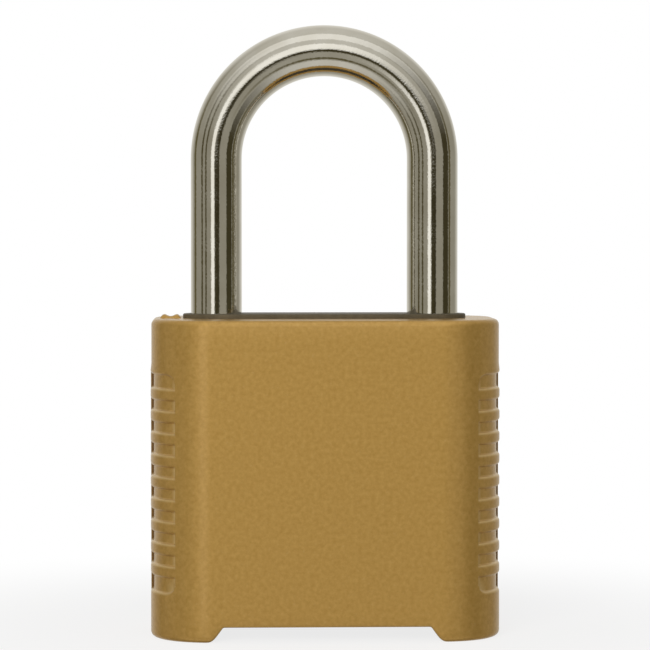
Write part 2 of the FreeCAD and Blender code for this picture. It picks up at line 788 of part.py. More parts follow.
def make_sleeve(index):
    label = f"code_sleeve_{index + 1}"
    body = new_body(label)
    low = f"{dial_x(index)} - sleeve_length / 2"
    ring = new_sketch(body, label + "_ring", "YZ_Plane", low)
    add_circle(ring, "0", "0", "spline_low")
    add_circle(ring, "0", "0", "spindle_bore")
    pad(body, label + "_blank", ring, "sleeve_length")
    spline = new_sketch(body, label + "_spline_outline", "YZ_Plane", f"{dial_x(index)} - dial_width / 2")
    add_loop(spline, box_loop("spline_low - 0.4", "-spline_width / 2", "spline_high", "spline_width / 2"))
    first = pad(body, label + "_spline", spline, "dial_width")
    pattern_round(body, label + "_splines", [first], "X_Axis", "spline_count")
    recess = new_sketch(body, label + "_recess_outline", "YZ_Plane", f"{low} + sleeve_land")
    add_circle(recess, "0", "0", "sleeve_recess_radius")
    pocket(body, label + "_recess", recess, "sleeve_length - sleeve_land", back=True)
    gate = new_sketch(body, label + "_gate_outline", "YZ_Plane", low)
    add_loop(gate, box_loop("-gate_width / 2", "0", "gate_width / 2", "gate_radius"))
    pocket(body, label + "_gate", gate, "sleeve_land", back=True)
    bind(body, "Placement.Base.z", "dial_z")
    keep(body, label)


# Locking works

def make_spindle():
    body = new_body("spindle")
    core = new_sketch(body, "spindle_core_outline", "YZ_Plane", "arm_right")
    add_circle(core, "0", "0", "spindle_radius")
    pad(body, "spindle_core", core, "spindle_neck_x - arm_right")
    neck = new_sketch(body, "spindle_neck_outline", "YZ_Plane", "spindle_neck_x - 0.5")
    add_circle(neck, "0", "0", "spindle_neck_radius")
    pad(body, "spindle_neck", neck, "spindle_right - spindle_neck_x + 0.5")
    head = new_sketch(body, "spindle_head_outline", "YZ_Plane",
                      "spindle_neck_x + spindle_clip_thick + 2 * clip_clearance")
    add_circle(head, "0", "0", "spindle_radius")
    pad(body, "spindle_head", head,
        "spindle_right - spindle_neck_x - spindle_clip_thick - 2 * clip_clearance")
    tenon = new_sketch(body, "spindle_tenon_outline", "YZ_Plane", "arm_left - tenon_proud")
    add_circle(tenon, "0", "0", "tenon_radius")
    pad(body, "spindle_tenon", tenon, "arm_thick + tenon_proud + 0.5")
    lug = new_sketch(body, "lug_outline", "YZ_Plane",
                     f"{dial_x(0)} - sleeve_length / 2 + sleeve_land + lug_gap")
    add_loop(lug, box_loop("-lug_width / 2", "0", "lug_width / 2", "lug_radius"))
    first = pad(body, "lug", lug, "lug_thick")
    pattern_line(body, "lugs", [first], "X_Axis", "dial_pitch * (dial_count - 1)", "dial_count")
    bind(body, "Placement.Base.z", "dial_z")
    keep(body, "spindle")


def make_carriage():
    body = new_body("locking_carriage")
    outline = new_sketch(body, "carriage_outline", "XZ_Plane")
    add_loop(outline, [
        ("arm_left", "dial_z - arm_below_spindle"), ("arm_right", "dial_z - arm_below_spindle"),
        ("arm_right", "carriage_plate_low_z"), ("post_right", "carriage_plate_low_z"),
        ("post_right", "carriage_plate_top_z"), ("arm_left", "carriage_plate_top_z"),
    ])
    pad(body, "carriage_strap", outline, "carriage_half_width * 2", middle=True)
    post = new_sketch(body, "post_outline", "XZ_Plane")
    face = "(leg_half_spacing - shackle_radius - wedge_gap)"
    heel_z = f"notch_low_z - ({face} - post_right) / wedge_slope"
    tip_x = f"({face} + wedge_slope * (wedge_tip_z - notch_low_z))"
    add_loop(post, [
        ("post_left", "carriage_plate_low_z"), ("post_right", "carriage_plate_low_z"),
        ("post_right", heel_z), (tip_x, "wedge_tip_z"),
        ("post_right", f"wedge_tip_z + notch_roof_slope * ({tip_x} - post_right) * 0.8"),
        ("post_left", f"wedge_tip_z + notch_roof_slope * ({tip_x} - post_right) * 0.8"),
    ])
    pad(body, "carriage_post", post, "post_half_width * 2", middle=True)
    hole = new_sketch(body, "arm_hole_outline", "YZ_Plane", "arm_left - 0.5")
    add_circle(hole, "0", "dial_z", "tenon_radius + tenon_clearance")
    pocket(body, "arm_hole", hole, "arm_thick + 1", back=True)
    keep(body, "locking_carriage")


def make_cage():
    body = new_body("dial_cage")
    block = new_sketch(body, "cage_outline", "XZ_Plane")
    add_loop(block, [
        ("-cage_half_length", "cage_low_z"), ("-cage_inner_half", "cage_low_z"),
        ("-cage_inner_half", "roof_low_z"), ("cage_inner_half", "roof_low_z"),
        ("cage_inner_half", "cage_low_z"), ("cage_half_length", "cage_low_z"),
        ("cage_half_length", "room_top"), ("-cage_half_length", "room_top"),
    ])
    pad(body, "cage_bracket", block, "cage_half_depth * 2", middle=True)
    tongue = new_sketch(body, "tongue_outline", "XY_Plane", "roof_low_z")
    half = "(carriage_half_width + slide_gap)"
    add_loop(tongue, box_loop("tongue_gap - room_wing_half_x", f"-{half}",
                              "-(cage_half_length - 0.5)", half))
    pad(body, "cage_tongue", tongue, "roof_thick")
    window = new_sketch(body, "strap_window_outline", "YZ_Plane", "-(cage_half_length + 0.5)")
    add_loop(window, box_loop(f"-{half}", "carriage_plate_low_z - slide_gap / 2", half, "roof_low_z"))
    pocket(body, "strap_window", window, "cheek + 1", back=True)
    lug_hole = new_sketch(body, "lug_hole_outline", "YZ_Plane", "-(cage_half_length + 0.5)")
    add_circle(lug_hole, "0", "dial_z", "lug_hole_radius")
    pocket(body, "lug_hole", lug_hole, "cheek + 1", back=True)
    bearing = new_sketch(body, "bearing_outline", "YZ_Plane", "cage_inner_half - 0.5")
    add_circle(bearing, "0", "dial_z", "spindle_bore")
    pocket(body, "bearing", bearing, "cheek + 1", back=True)
    slot = new_sketch(body, "roof_slot_outline", "XY_Plane", "room_top")
    add_loop(slot, box_loop("post_left - carriage_stroke - slide_gap",
                            "-(post_half_width + slide_gap)", "post_right + slide_gap",
                            "post_half_width + slide_gap"))
    pocket(body, "roof_slot", slot, "roof_thick")
    leaf = new_sketch(body, "leaf_seat_outline", "XY_Plane", "roof_low_z")
    add_loop(leaf, box_loop("-cage_inner_half", "leaf_inner_y - 0.1", "cage_inner_half",
                            "cage_half_depth + 1"))
    pocket(body, "leaf_seat", leaf, "leaf_thick", back=True)
    holes = new_sketch(body, "cage_hole_outline", "XY_Plane", "room_top")
    for x_sign in ("-", ""):
        add_circle(holes, f"{x_sign}cage_screw_x", "cage_screw_y", "cage_screw_radius + screw_clearance")
    add_circle(holes, "-leg_half_spacing", "0", "seat_pin_radius + seat_clearance")
    pocket(body, "cage_holes", holes, "roof_thick")
    keep(body, "dial_cage")


def make_detent_spring():
    body = new_body("detent_spring")
    strip = new_sketch(body, "leaf_outline", "XY_Plane", "roof_low_z")
    add_loop(strip, box_loop("-leaf_half_length", "leaf_inner_y", "leaf_half_length", "leaf_outer_y"))
    for sign in ("-", ""):
        add_circle(strip, f"{sign}cage_screw_x", "cage_screw_y", "cage_screw_radius + screw_clearance")
    pad(body, "leaf_strip", strip, "leaf_thick")
    finger = new_sketch(body, "finger_outline", "YZ_Plane", f"{dial_x(0)} - finger_width / 2")
    inner = "leaf_outer_y - leaf_thick"
    add_loop(finger, [
        ("leaf_outer_y", "dial_z - finger_below_tip"), ("leaf_outer_y", "roof_low_z + leaf_thick"),
        (inner, "roof_low_z + leaf_thick"), (inner, "dial_z + finger_tip_half"),
        ("dial_radius - finger_reach", "dial_z"), (inner, "dial_z - finger_tip_half"),
        (inner, "dial_z - finger_below_tip"),
    ])
    first = pad(body, "finger", finger, "finger_width")
    pattern_line(body, "fingers", [first], "X_Axis", "dial_pitch * (dial_count - 1)", "dial_count")
    keep(body, "detent_spring")


# Bottom plate and screws

def make_bottom_plate():
    body = new_body("bottom_plate")
    inset = "(wall + plate_clearance)"
    plan = new_sketch(body, "plate_outline", "XY_Plane", "plate_bottom")
    add_loop(plan, rounded_loop(f"(width / 2 - {inset})", f"(depth / 2 - {inset})", f"(plan_corner - {inset})"))
    pad(body, "plate_slab", plan, "plate_thick")
    window = new_sketch(body, "window_outline", "XY_Plane", "plate_bottom")
    left = f"{dial_x(0)} - window_width / 2"
    add_loop(window, box_loop(left, "-window_half_length", f"{left} + window_width", "window_half_length"))
    first = pocket(body, "window", window, "plate_thick", back=True)
    pattern_line(body, "windows", [first], "X_Axis", "dial_pitch * (dial_count - 1)", "dial_count")
    head = new_sketch(body, "plate_head_outline", "XY_Plane", "plate_bottom")
    shank = new_sketch(body, "plate_hole_outline", "XY_Plane", "plate_bottom")
    for x_sign in ("-", ""):
        for y_sign in ("-", ""):
            place = (f"{x_sign}plate_screw_x", f"{y_sign}plate_screw_y")
            add_circle(head, *place, "plate_screw_head_radius + screw_clearance")
            add_circle(shank, *place, "plate_screw_radius + screw_clearance")
    pocket(body, "plate_heads", head, "plate_screw_head_height", back=True)
    pocket(body, "plate_holes", shank, "plate_thick", back=True)
    mark = new_sketch(body, "index_outline", "XY_Plane", "plate_bottom")
    add_loop(mark, box_loop(f"{dial_x(0)} - index_width / 2", "-(window_half_length + 0.5 + index_length)",
                            f"{dial_x(0)} + index_width / 2", "-(window_half_length + 0.5)"))
    first = pocket(body, "index_mark", mark, "index_depth", back=True)
    pattern_line(body, "index_marks", [first], "X_Axis", "dial_pitch * (dial_count - 1)", "dial_count")
    keep(body, "bottom_plate")


def make_screw(label, x, y, head_low, head_high, radius, head_radius, length):
    """One screw that points up, its head below."""
    body = new_body(label)
    head = new_sketch(body, label + "_head_outline", "XY_Plane", head_low)
    add_circle(head, x, y, head_radius)
    pad(body, label + "_head", head, head_high)
    shank = new_sketch(body, label + "_shank_outline", "XY_Plane", f"{head_low} + {head_high}")
    add_circle(shank, x, y, radius)
    pad(body, label + "_shank", shank, length)
    return body


def make_screws():
    plate_screw = make_screw("plate_screw", "plate_screw_x", "plate_screw_y", "plate_bottom",
                             "plate_screw_head_height", "plate_screw_radius",
                             "plate_screw_head_radius", "plate_screw_length")
    cage_screw = make_screw("cage_screw", "cage_screw_x", "cage_screw_y",
                            "roof_low_z - cage_screw_head_height",
                            "cage_screw_head_height", "cage_screw_radius",
                            "cage_screw_head_radius", "cage_screw_length")
    across, along_row = FreeCAD.Vector(0, 1, 0), FreeCAD.Vector(1, 0, 0)
    plate_pair = mirrored_pair(plate_screw, "plate_screws_right", across)
    keep(mirrored_pair(plate_pair, "plate_screws", along_row), "plate_screws")
    keep(mirrored_pair(cage_screw, "cage_screws", along_row), "cage_screws")


# Build, check and write

make_shell()
make_shackle()
make_seal()
make_clips()
make_springs()
make_spring_seat()
for dial_index in range(SIZES["dial_count"]):
    make_dial(dial_index)
    make_sleeve(dial_index)
make_spindle()
make_carriage()
make_cage()
make_detent_spring()
make_bottom_plate()
make_screws()
doc.recompute()

for item in doc.Objects:
    if "Invalid" in item.State or "Error" in item.State:
        raise ValueError(f"{item.Label}: {item.State}")

os.makedirs("parts", exist_ok=True)
for label, thing in NODES:
    shape = thing.Shape
    if shape.isNull() or not shape.isValid():
        raise ValueError(f"{label} has no valid shape")
    shape.exportStep(f"parts/{label}.step")
    box = shape.BoundBox
    print(f"{label}: {len(shape.Solids)} solid(s), {shape.Volume:.1f} mm3, "
          f"x {box.XMin:.2f}..{box.XMax:.2f}, y {box.YMin:.2f}..{box.YMax:.2f}, "
          f"z {box.ZMin:.2f}..{box.ZMax:.2f}")
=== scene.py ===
import math

import bmesh
import bpy
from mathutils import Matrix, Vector


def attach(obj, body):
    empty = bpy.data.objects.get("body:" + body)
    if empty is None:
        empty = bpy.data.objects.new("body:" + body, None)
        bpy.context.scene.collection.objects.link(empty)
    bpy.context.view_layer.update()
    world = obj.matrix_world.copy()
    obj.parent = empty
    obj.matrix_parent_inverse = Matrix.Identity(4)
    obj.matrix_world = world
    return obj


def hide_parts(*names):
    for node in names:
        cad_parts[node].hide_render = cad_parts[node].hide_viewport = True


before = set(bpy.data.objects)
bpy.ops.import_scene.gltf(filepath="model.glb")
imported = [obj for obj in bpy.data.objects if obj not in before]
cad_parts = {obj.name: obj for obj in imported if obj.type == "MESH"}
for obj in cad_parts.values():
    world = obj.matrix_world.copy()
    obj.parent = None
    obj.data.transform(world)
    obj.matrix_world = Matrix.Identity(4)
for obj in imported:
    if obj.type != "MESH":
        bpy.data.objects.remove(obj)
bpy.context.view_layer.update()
MM = 0.001

# Main sizes in mm: those of the solids, with the top face and the seal a touch higher, as they are seen

HALF_W, HALF_D, TOP = 27.25, 14.0, 49.54
CORNER, EDGE_ROUND, WALL = 9.5, 0.9, 2.4
CAVITY_TOP = 22.0
SEAL_HALF, SEAL_R, SEAL_LOW, SEAL_TOP = 22.3, 5.3, 48.8, 50.24
LEG_X, ROD, BOW_Z = 17.0, 4.0, 74.5
HEEL_END, TOE_END = 22.3, 35.4
BORE, CLIP_ROOM, CLIP_STOP = 4.08, 5.3, 40.1
DIAL_Z, DIAL_R, DIAL_W, PITCH = 9.8, 8.0, 6.4, 7.4
PLATE_LOW, PLATE_TOP = 3.0, 4.2
RIB_X = -24.2
SMOOTH_ANGLE = 32


# Node helpers

class Nodes:
    """A short way to write a node tree."""

    def __init__(self, tree):
        self.tree = tree
        tree.nodes.clear()

    def link(self, a, b):
        self.tree.links.new(a, b)

    def feed(self, socket, value):
        """Link another node's output to a socket, or set the socket's own value."""
        if hasattr(value, "is_output"):
            self.link(value, socket)
        elif isinstance(value, tuple):
            socket.default_value = (*value, 1.0)
        else:
            socket.default_value = value

    def math(self, operation, a, b=0.0):
        node = self.tree.nodes.new("ShaderNodeMath")
        node.operation = operation
        self.feed(node.inputs[0], a)
        self.feed(node.inputs[1], b)
        return node.outputs[0]

    def mix(self, factor, a, b, blend="MIX"):
        """Blend two colours; the sockets 0, 6 and 7 are the factor and the colours."""
        node = self.tree.nodes.new("ShaderNodeMix")
        node.data_type = "RGBA"
        node.blend_type = blend
        for number, value in ((0, factor), (6, a), (7, b)):
            self.feed(node.inputs[number], value)
        return node.outputs[2]

    def attribute(self, name):
        """The factor of a mesh attribute."""
        node = self.tree.nodes.new("ShaderNodeAttribute")
        node.attribute_name = name
        return node.outputs["Fac"]

    def ramp(self, factor, stops):
        node = self.tree.nodes.new("ShaderNodeValToRGB")
        ramp = node.color_ramp
        for element, (place, value) in zip(ramp.elements, (stops[0], stops[-1])):
            element.position = place
            element.color = grey(value)
        for place, value in stops[1:-1]:
            ramp.elements.new(place).color = grey(value)
        self.link(factor, node.inputs[0])
        return node.outputs[0]


def grey(value):
    """A colour with its alpha, from a grey level or a colour."""
    return (*value, 1.0) if isinstance(value, tuple) else (value, value, value, 1.0)


def srgb(red, green, blue):
    """Linear colour of an sRGB triple of 0 to 255."""
    out = []
    for value in (red, green, blue):
        value /= 255
        out.append(value / 12.92 if value <= 0.04045 else ((value + 0.055) / 1.055) ** 2.4)
    return tuple(out)


def new_material(name):
    """A material with its tree, its main shader and the object's own coordinates."""
    material = bpy.data.materials.new(name)
    material.use_nodes = True
    nodes = Nodes(material.node_tree)
    shader = nodes.tree.nodes.new("ShaderNodeBsdfPrincipled")
    output = nodes.tree.nodes.new("ShaderNodeOutputMaterial")
    nodes.link(shader.outputs[0], output.inputs[0])
    place = nodes.tree.nodes.new("ShaderNodeTexCoord").outputs["Object"]
    return material, nodes, shader, place


def texture(nodes, kind, place, scale, **values):
    """A texture node; the further values go to its sockets of the same names."""
    node = nodes.tree.nodes.new(kind)
    nodes.link(place, node.inputs["Vector"])
    node.inputs["Scale"].default_value = scale
    for key, value in values.items():
        node.inputs[key].default_value = value
    return node


def bump(nodes, height, strength, distance, after=None):
    """A bump of a height in metres, on top of another one if that is given."""
    node = nodes.tree.nodes.new("ShaderNodeBump")
    nodes.link(height, node.inputs["Height"])
    node.inputs["Strength"].default_value = strength
    node.inputs["Distance"].default_value = distance
    if after is not None:
        nodes.link(after, node.inputs["Normal"])
    return node.outputs[0]


# Materials

def gold_paint():
    """Fine metallic-flake paint: mottled base, sparse bright flakes, slight orange peel; painted shade at
    the grooves' end walls and a painted highlight on their lower edges and inner ends.
    """
    material, nodes, shader, place = new_material("gold_flake_paint")
    mottle = texture(nodes, "ShaderNodeTexNoise", place, 1500.0, Detail=3.0, Roughness=0.6)
    cells = texture(nodes, "ShaderNodeTexVoronoi", place, 3600.0)
    base = nodes.mix(nodes.ramp(mottle.outputs["Fac"], [(0.3, 0.0), (0.7, 1.0)]),
                     srgb(191, 150, 76), srgb(207, 166, 91))
    flake = nodes.ramp(cells.outputs["Color"], [(0.0, 0.0), (0.82, 0.0), (1.0, 1.0)])
    colour = nodes.mix(nodes.math("MULTIPLY", flake, 0.16), base, srgb(226, 196, 134))
    # Painted shade: dark brown mixed into the colour on the walls that end the grooves on the sides, and
    # beside them
    deep = nodes.math("MULTIPLY", nodes.attribute("groove_end_shade"), 0.8)
    colour = nodes.mix(deep, colour, srgb(118, 82, 52))
    # Painted highlight: a paler gold mixed into the colour on the grooves' lower edges and inner ends
    pale = nodes.math("MULTIPLY", nodes.attribute("groove_lip_highlight"), 0.5)
    colour = nodes.mix(pale, colour, srgb(240, 214, 158))
    nodes.link(colour, shader.inputs["Base Color"])
    shader.inputs["Metallic"].default_value = 0.7
    rough = nodes.ramp(cells.outputs["Color"], [(0.0, 0.38), (1.0, 0.46)])
    nodes.link(rough, shader.inputs["Roughness"])
    shader.inputs["Coat Weight"].default_value = 0.55
    shader.inputs["Coat Roughness"].default_value = 0.18
    peel = texture(nodes, "ShaderNodeTexNoise", place, 900.0, Detail=2.0)
    soft = bump(nodes, peel.outputs["Fac"], 0.1, 0.00004)
    fine = bump(nodes, cells.outputs["Distance"], 0.06, 0.00002, soft)
    nodes.link(fine, shader.inputs["Normal"])
    return material


def chrome():
    """Bright plating with soft smears, a faint waviness and fine pits where the smears are."""
    material, nodes, shader, place = new_material("polished_chrome")
    smear = texture(nodes, "ShaderNodeTexNoise", place, 220.0, Detail=4.0)
    tint = nodes.mix(nodes.ramp(smear.outputs["Fac"], [(0.35, 0.0), (0.7, 1.0)]),
                     srgb(224, 221, 212), srgb(236, 234, 228))
    nodes.link(tint, shader.inputs["Base Color"])
    shader.inputs["Metallic"].default_value = 1.0
    nodes.link(nodes.ramp(smear.outputs["Fac"], [(0.3, 0.02), (0.75, 0.05)]), shader.inputs["Roughness"])
    pits = texture(nodes, "ShaderNodeTexNoise", place, 3000.0, Detail=2.0, Roughness=0.6)
    patch = nodes.ramp(smear.outputs["Fac"], [(0.4, 0.35), (0.62, 1.0)])
    wave = texture(nodes, "ShaderNodeTexNoise", place, 160.0, Detail=2.0)
    soft = bump(nodes, wave.outputs["Fac"], 0.06, 0.0001)
    fine = nodes.math("MULTIPLY", pits.outputs["Fac"], patch)
    nodes.link(bump(nodes, fine, 0.6, 0.00002, soft), shader.inputs["Normal"])
    return material


def metal(name, dark, light, rough, grain=(60.0, 900.0, 900.0)):
    """Machined or cast metal: two tones along a grain of a scale for each axis, with its roughness."""
    material, nodes, shader, place = new_material(name)
    mapping = nodes.tree.nodes.new("ShaderNodeMapping")
    nodes.link(place, mapping.inputs["Vector"])
    mapping.inputs["Scale"].default_value = grain
    streak = texture(nodes, "ShaderNodeTexNoise", mapping.outputs[0], 1.0, Detail=4.0, Roughness=0.6)
    nodes.link(nodes.mix(streak.outputs["Fac"], dark, light), shader.inputs["Base Color"])
    shader.inputs["Metallic"].default_value = 1.0
    nodes.link(nodes.ramp(streak.outputs["Fac"], [(0.3, rough), (0.8, rough + 0.15)]),
               shader.inputs["Roughness"])
    nodes.link(bump(nodes, streak.outputs["Fac"], 0.15, 0.00004), shader.inputs["Normal"])
    return material


def dull(name, dark, light, rough, scale=700.0, height=0.00005, coat=0.0):
    """Rubber, plastic or satin paint: fine grain over two close tones."""
    material, nodes, shader, place = new_material(name)
    grain = texture(nodes, "ShaderNodeTexNoise", place, scale, Detail=4.0, Roughness=0.65)
    cloud = texture(nodes, "ShaderNodeTexNoise", place, scale / 9, Detail=2.0)
    mixed = nodes.math("ADD", nodes.math("MULTIPLY", grain.outputs["Fac"], 0.6),
                       nodes.math("MULTIPLY", cloud.outputs["Fac"], 0.4))
    nodes.link(nodes.mix(nodes.ramp(mixed, [(0.35, 0.0), (0.65, 1.0)]), dark, light),
               shader.inputs["Base Color"])
    nodes.link(nodes.ramp(grain.outputs["Fac"], [(0.3, rough), (0.7, min(rough + 0.12, 1.0))]),
               shader.inputs["Roughness"])
    shader.inputs["Coat Weight"].default_value = coat
    nodes.link(bump(nodes, grain.outputs["Fac"], 0.25, height), shader.inputs["Normal"])
    return material


MATERIALS = {
    "paint": gold_paint(),
    "chrome": chrome(),
    "seal": dull("seal_rubber", srgb(68, 60, 43), srgb(94, 84, 63), 0.45),
    "plate": dull("satin_black_paint", srgb(24, 23, 22), srgb(34, 33, 31), 0.38, 900.0),
    "dial": dull("dial_black", srgb(16, 16, 17), srgb(27, 27, 28), 0.3, 1100.0, 0.00003, 0.3),
    "ink": dull("dial_figure_white", srgb(216, 214, 206), srgb(236, 235, 229), 0.5, 1200.0, 0.00002),
    "brass": metal("turned_brass", srgb(160, 122, 58), srgb(206, 168, 96), 0.24, (900.0, 60.0, 60.0)),
    "steel": metal("drawn_steel", srgb(140, 141, 143), srgb(190, 191, 193), 0.22),
    "black_steel": metal("blackened_steel", srgb(30, 30, 32), srgb(58, 58, 61), 0.32),
    "cast": metal("cast_zinc", srgb(120, 122, 124), srgb(160, 162, 163), 0.5, (500.0, 500.0, 500.0)),
}

NODE_LOOKS = {
    "bottom_plate": "plate", "dial_cage": "cast", "cage_screws": "black_steel", "spring_seat": "steel",
    "detent_spring": "steel", "shackle_spring": "steel", "carriage_spring": "steel",
    "shackle_clip": "steel", "locking_carriage": "cast", "spindle": "steel", "spindle_clip": "steel",
    "body_shell": "paint", "shackle": "chrome", "shackle_seal": "seal", "plate_screws": "black_steel",
}
DIAL_NUMBERS = (1, 2, 3, 4)
NODE_LOOKS.update({f"code_sleeve_{number}": "brass" for number in DIAL_NUMBERS})
NODE_LOOKS.update({f"dial_{number}": "dial" for number in DIAL_NUMBERS})


def dress_nodes():
    """Give each of the frame's nodes its material."""
    for name, look in NODE_LOOKS.items():
        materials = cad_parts[name].data.materials
        materials.clear()
        materials.append(MATERIALS[look])


# Mesh helpers

def new_piece(name, points, faces, looks, face_looks=None):
    """An object from points in mm, with its materials and smooth shading by angle."""
    mesh = bpy.data.meshes.new(name)
    mesh.from_pydata([tuple(v * MM for v in point) for point in points], [], faces)
    for look in looks:
        mesh.materials.append(MATERIALS[look])
    if face_looks:
        mesh.polygons.foreach_set("material_index", face_looks)
    shape = bmesh.new()
    shape.from_mesh(mesh)
    bmesh.ops.remove_doubles(shape, verts=shape.verts, dist=1e-7)
    bmesh.ops.recalc_face_normals(shape, faces=shape.faces)
    shape.to_mesh(mesh)
    shape.free()
    mesh.validate()
    piece = bpy.data.objects.new(name, mesh)
    bpy.context.scene.collection.objects.link(piece)
    mesh.polygons.foreach_set("use_smooth", [True] * len(mesh.polygons))
    mesh.set_sharp_from_angle(angle=math.radians(SMOOTH_ANGLE))
    return piece


class Skin:
    """Points and faces gathered ring by ring."""

    def __init__(self):
        self.points = []
        self.faces = []

    def ring(self, points):
        start = len(self.points)
        self.points.extend(points)
        return list(range(start, start + len(points)))

    def bridge(self, a, b):
        """Faces from one ring to the next."""
        count = len(a)
        for k in range(count):
            after = (k + 1) % count
            self.faces.append((a[k], a[after], b[after], b[k]))

    def bridge_all(self, rings):
        for a, b in zip(rings, rings[1:]):
            self.bridge(a, b)

    def cap(self, *rings):
        for ring in rings:
            self.faces.append(tuple(ring))

    def fill(self, *loops):
        """Triangles between flat loops that lie in one plane."""
        shape = bmesh.new()
        marks = {}
        for loop in loops:
            verts = []
            for index in loop:
                vert = shape.verts.new(self.points[index])
                marks[vert] = index
                verts.append(vert)
            for k, vert in enumerate(verts):
                shape.edges.new((vert, verts[(k + 1) % len(verts)]))
        bmesh.ops.triangle_fill(shape, use_beauty=True, edges=shape.edges)
        for face in shape.faces:
            self.faces.append(tuple(marks[v] for v in face.verts))
        shape.free()


def circle(x, y, z, radius, count):
    return [(x + radius * math.cos(2 * math.pi * k / count),
             y + radius * math.sin(2 * math.pi * k / count), z) for k in range(count)]


def arc_steps(steps):
    """Pairs (across, down) of a quarter round of radius 1, from its top to its side."""
    out = []
    for k in range(steps + 1):
        angle = math.pi / 2 * k / steps
        out.append((1 - math.sin(angle), 1 - math.cos(angle)))
    return out


# Body shell

GRIP_LOW, GRIP_HIGH = 7.4, 41.05
GROOVE_FIRST, GROOVE_LAST, GROOVE_PLAIN, GROOVES_PLAIN = 2.1, 2.37, 1.57, 8
GROOVE_END_X = 23.5
GROOVE_ROUND = 1.6
GROOVE_ROUND_SHARE = 0.85
GROOVE_END_Y = 3.0
HOLE_COUNT = 72

# A groove's edge: (distance outside the edge, depth)
EDGE_PROFILE = [(0.52, 0.0), (0.4, 0.012), (0.29, 0.04), (0.2, 0.085), (0.12, 0.15), (0.05, 0.23),
                (0.0, 0.32), (-0.03, 0.39), (-0.07, 0.45), (-0.13, 0.487), (-0.22, 0.5)]

# How a groove's depth comes in at its ends: (degrees of the corner or y of the side, share of the depth)
CORNER_END = [(0, 0), (35.6, 0), (36.4, 0.06), (36.9, 0.25), (37.2, 0.5), (37.5, 0.75), (38.0, 0.94),
              (38.8, 1.0), (91, 1.0)]
SIDE_END = [(-9, 1), (-3.35, 1), (-3.2, 0.96), (-3.1, 0.8), (-3.0, 0.45), (-2.9, 0.16), (-2.8, 0.04),
            (-2.6, 0), (9, 0)]

# Above the grip, corners and sides lie a little further in than the ribs: (degrees of the corner, share)
PLAIN_INSET = 0.12
PLAIN_CORNER = [(0, 0), (20, 0), (45, 1), (99, 1)]

# The lower edge over the notch and the feet: (x, level), then (x, radius)
NOTCH_LINE = [(0.0, 2.37), (15.75, 2.37), (15.95, 2.33), (16.1, 2.2), (16.35, 1.85), (16.7, 1.36),
              (17.0, 0.96), (17.3, 0.6), (17.6, 0.33), (17.9, 0.14), (18.3, 0.03), (18.7, 0.0), (99.0, 0.0)]
UNDER_ROUND = [(0, 0.45), (16, 0.45), (18.5, EDGE_ROUND), (99, EDGE_ROUND)]

# Rings of the shell: the seal recess's rim as (distance outside it, level), then plain levels
RECESS_RIM = [(0.0, SEAL_LOW), (0.0, TOP - 0.12), (0.04, TOP - 0.03), (0.12, TOP), (0.4, TOP)]
TOP_FACE_INSET = EDGE_ROUND + 0.35
ABOVE_GRIP = (TOP - 3.5, 42.7)
BELOW_GRIP = (5.0, 3.6)
RIM_FLAT, RIM_ROUND = 0.3, 0.25

# The legs' holes as (level, radius): the heel's has room for the shackle's clip below its stop
HEEL_HOLE = [(SEAL_LOW, BORE), (CLIP_STOP, BORE), (CLIP_STOP, CLIP_ROOM), (HEEL_END - 0.2, CLIP_ROOM)]
TOE_HOLE = [(SEAL_LOW, BORE), (TOE_END - 0.6, BORE)]

# Painted shade and painted highlight of the paint round the grooves: painted shade by |y| near the end
# walls, and a painted highlight by height over the lower edge and by |x| past the inner end
END_SHADE = [(0, 0), (2.85, 0), (2.95, 1), (3.25, 1), (3.4, 0.5), (3.8, 0.3), (4.6, 0)]
SHADE_INSETS = (0.02, 0.6)
SHADE_LEVELS = (5.0, TOP - 7.0)
LIP_EDGE = [(-0.45, 0), (-0.3, 0.5), (-0.15, 1), (0.0, 0.8), (0.2, 0), (99, 0)]
LIP_END = [(0.05, 0.7), (0.35, 0), (99, 0)]
LIP_MARGIN = 0.12


def grooves():
    """Low level, high level and rounded end of each groove, from the top down."""
    free = GRIP_HIGH - GRIP_LOW - GROOVE_FIRST - GROOVE_LAST - GROOVE_PLAIN * GROOVES_PLAIN
    rib = free / (GROOVES_PLAIN + 1)
    out = [(GRIP_HIGH - GROOVE_FIRST, GRIP_HIGH, "high")]
    level = GRIP_HIGH - GROOVE_FIRST - rib
    for _ in range(GROOVES_PLAIN):
        out.append((level - GROOVE_PLAIN, level, ""))
        level -= GROOVE_PLAIN + rib
    out.append((GRIP_LOW, GRIP_LOW + GROOVE_LAST, "low"))
    return out


def interpolate(table, x):
    """The value at x on the straight runs between a table's pairs."""
    for (x0, y0), (x1, y1) in zip(table, table[1:]):
        if x <= x1:
            return y0 + (y1 - y0) * (x - x0) / (x1 - x0)
    return table[-1][1]


def quarter():
    """Stations of one quarter of the plan, from the front's middle to the side's middle."""
    fronts = [0, 1.5, 3, 4.5, 6, 7.5, 9, 10.5, 12, 13.5, 14.8, 15.5, 15.75, 15.95, 16.1, 16.35, 16.7, 17.0,
              17.3, 17.6]
    angles = [0, 0.9, 1.8, 3.3, 4.5, 5.7, 8, 10.5, 13, 16, 19, 22, 25, 28, 31, 34, 35.6, 36.4, 36.9, 37.2,
              37.5, 38.0, 38.8, 40, 41.5, 43, 44.5, 46, 48, 50, 52, 55, 58, 61, 64, 67, 70, 73, 76, 79, 82,
              85, 88, 90]
    sides = [-3.75, -3.35, -3.2, -3.1, -3.0, -2.9, -2.8, -2.6, -1.4, 0.0]
    out = []
    for kind, values in (("front", fronts), ("corner", angles), ("side", sides)):
        out += [(kind, value) for value in values]
    return out


def plan_point(kind, value, inset):
    """A station's x and y in the quarter at the front right, moved in by the inset."""
    flat_x, flat_y = HALF_W - CORNER, HALF_D - CORNER
    if kind == "front":
        return value, -HALF_D + inset
    if kind == "corner":
        angle = math.radians(value - 90)
        radius = CORNER - inset
        return flat_x + radius * math.cos(angle), -flat_y + radius * math.sin(angle)
    return HALF_W - inset, value


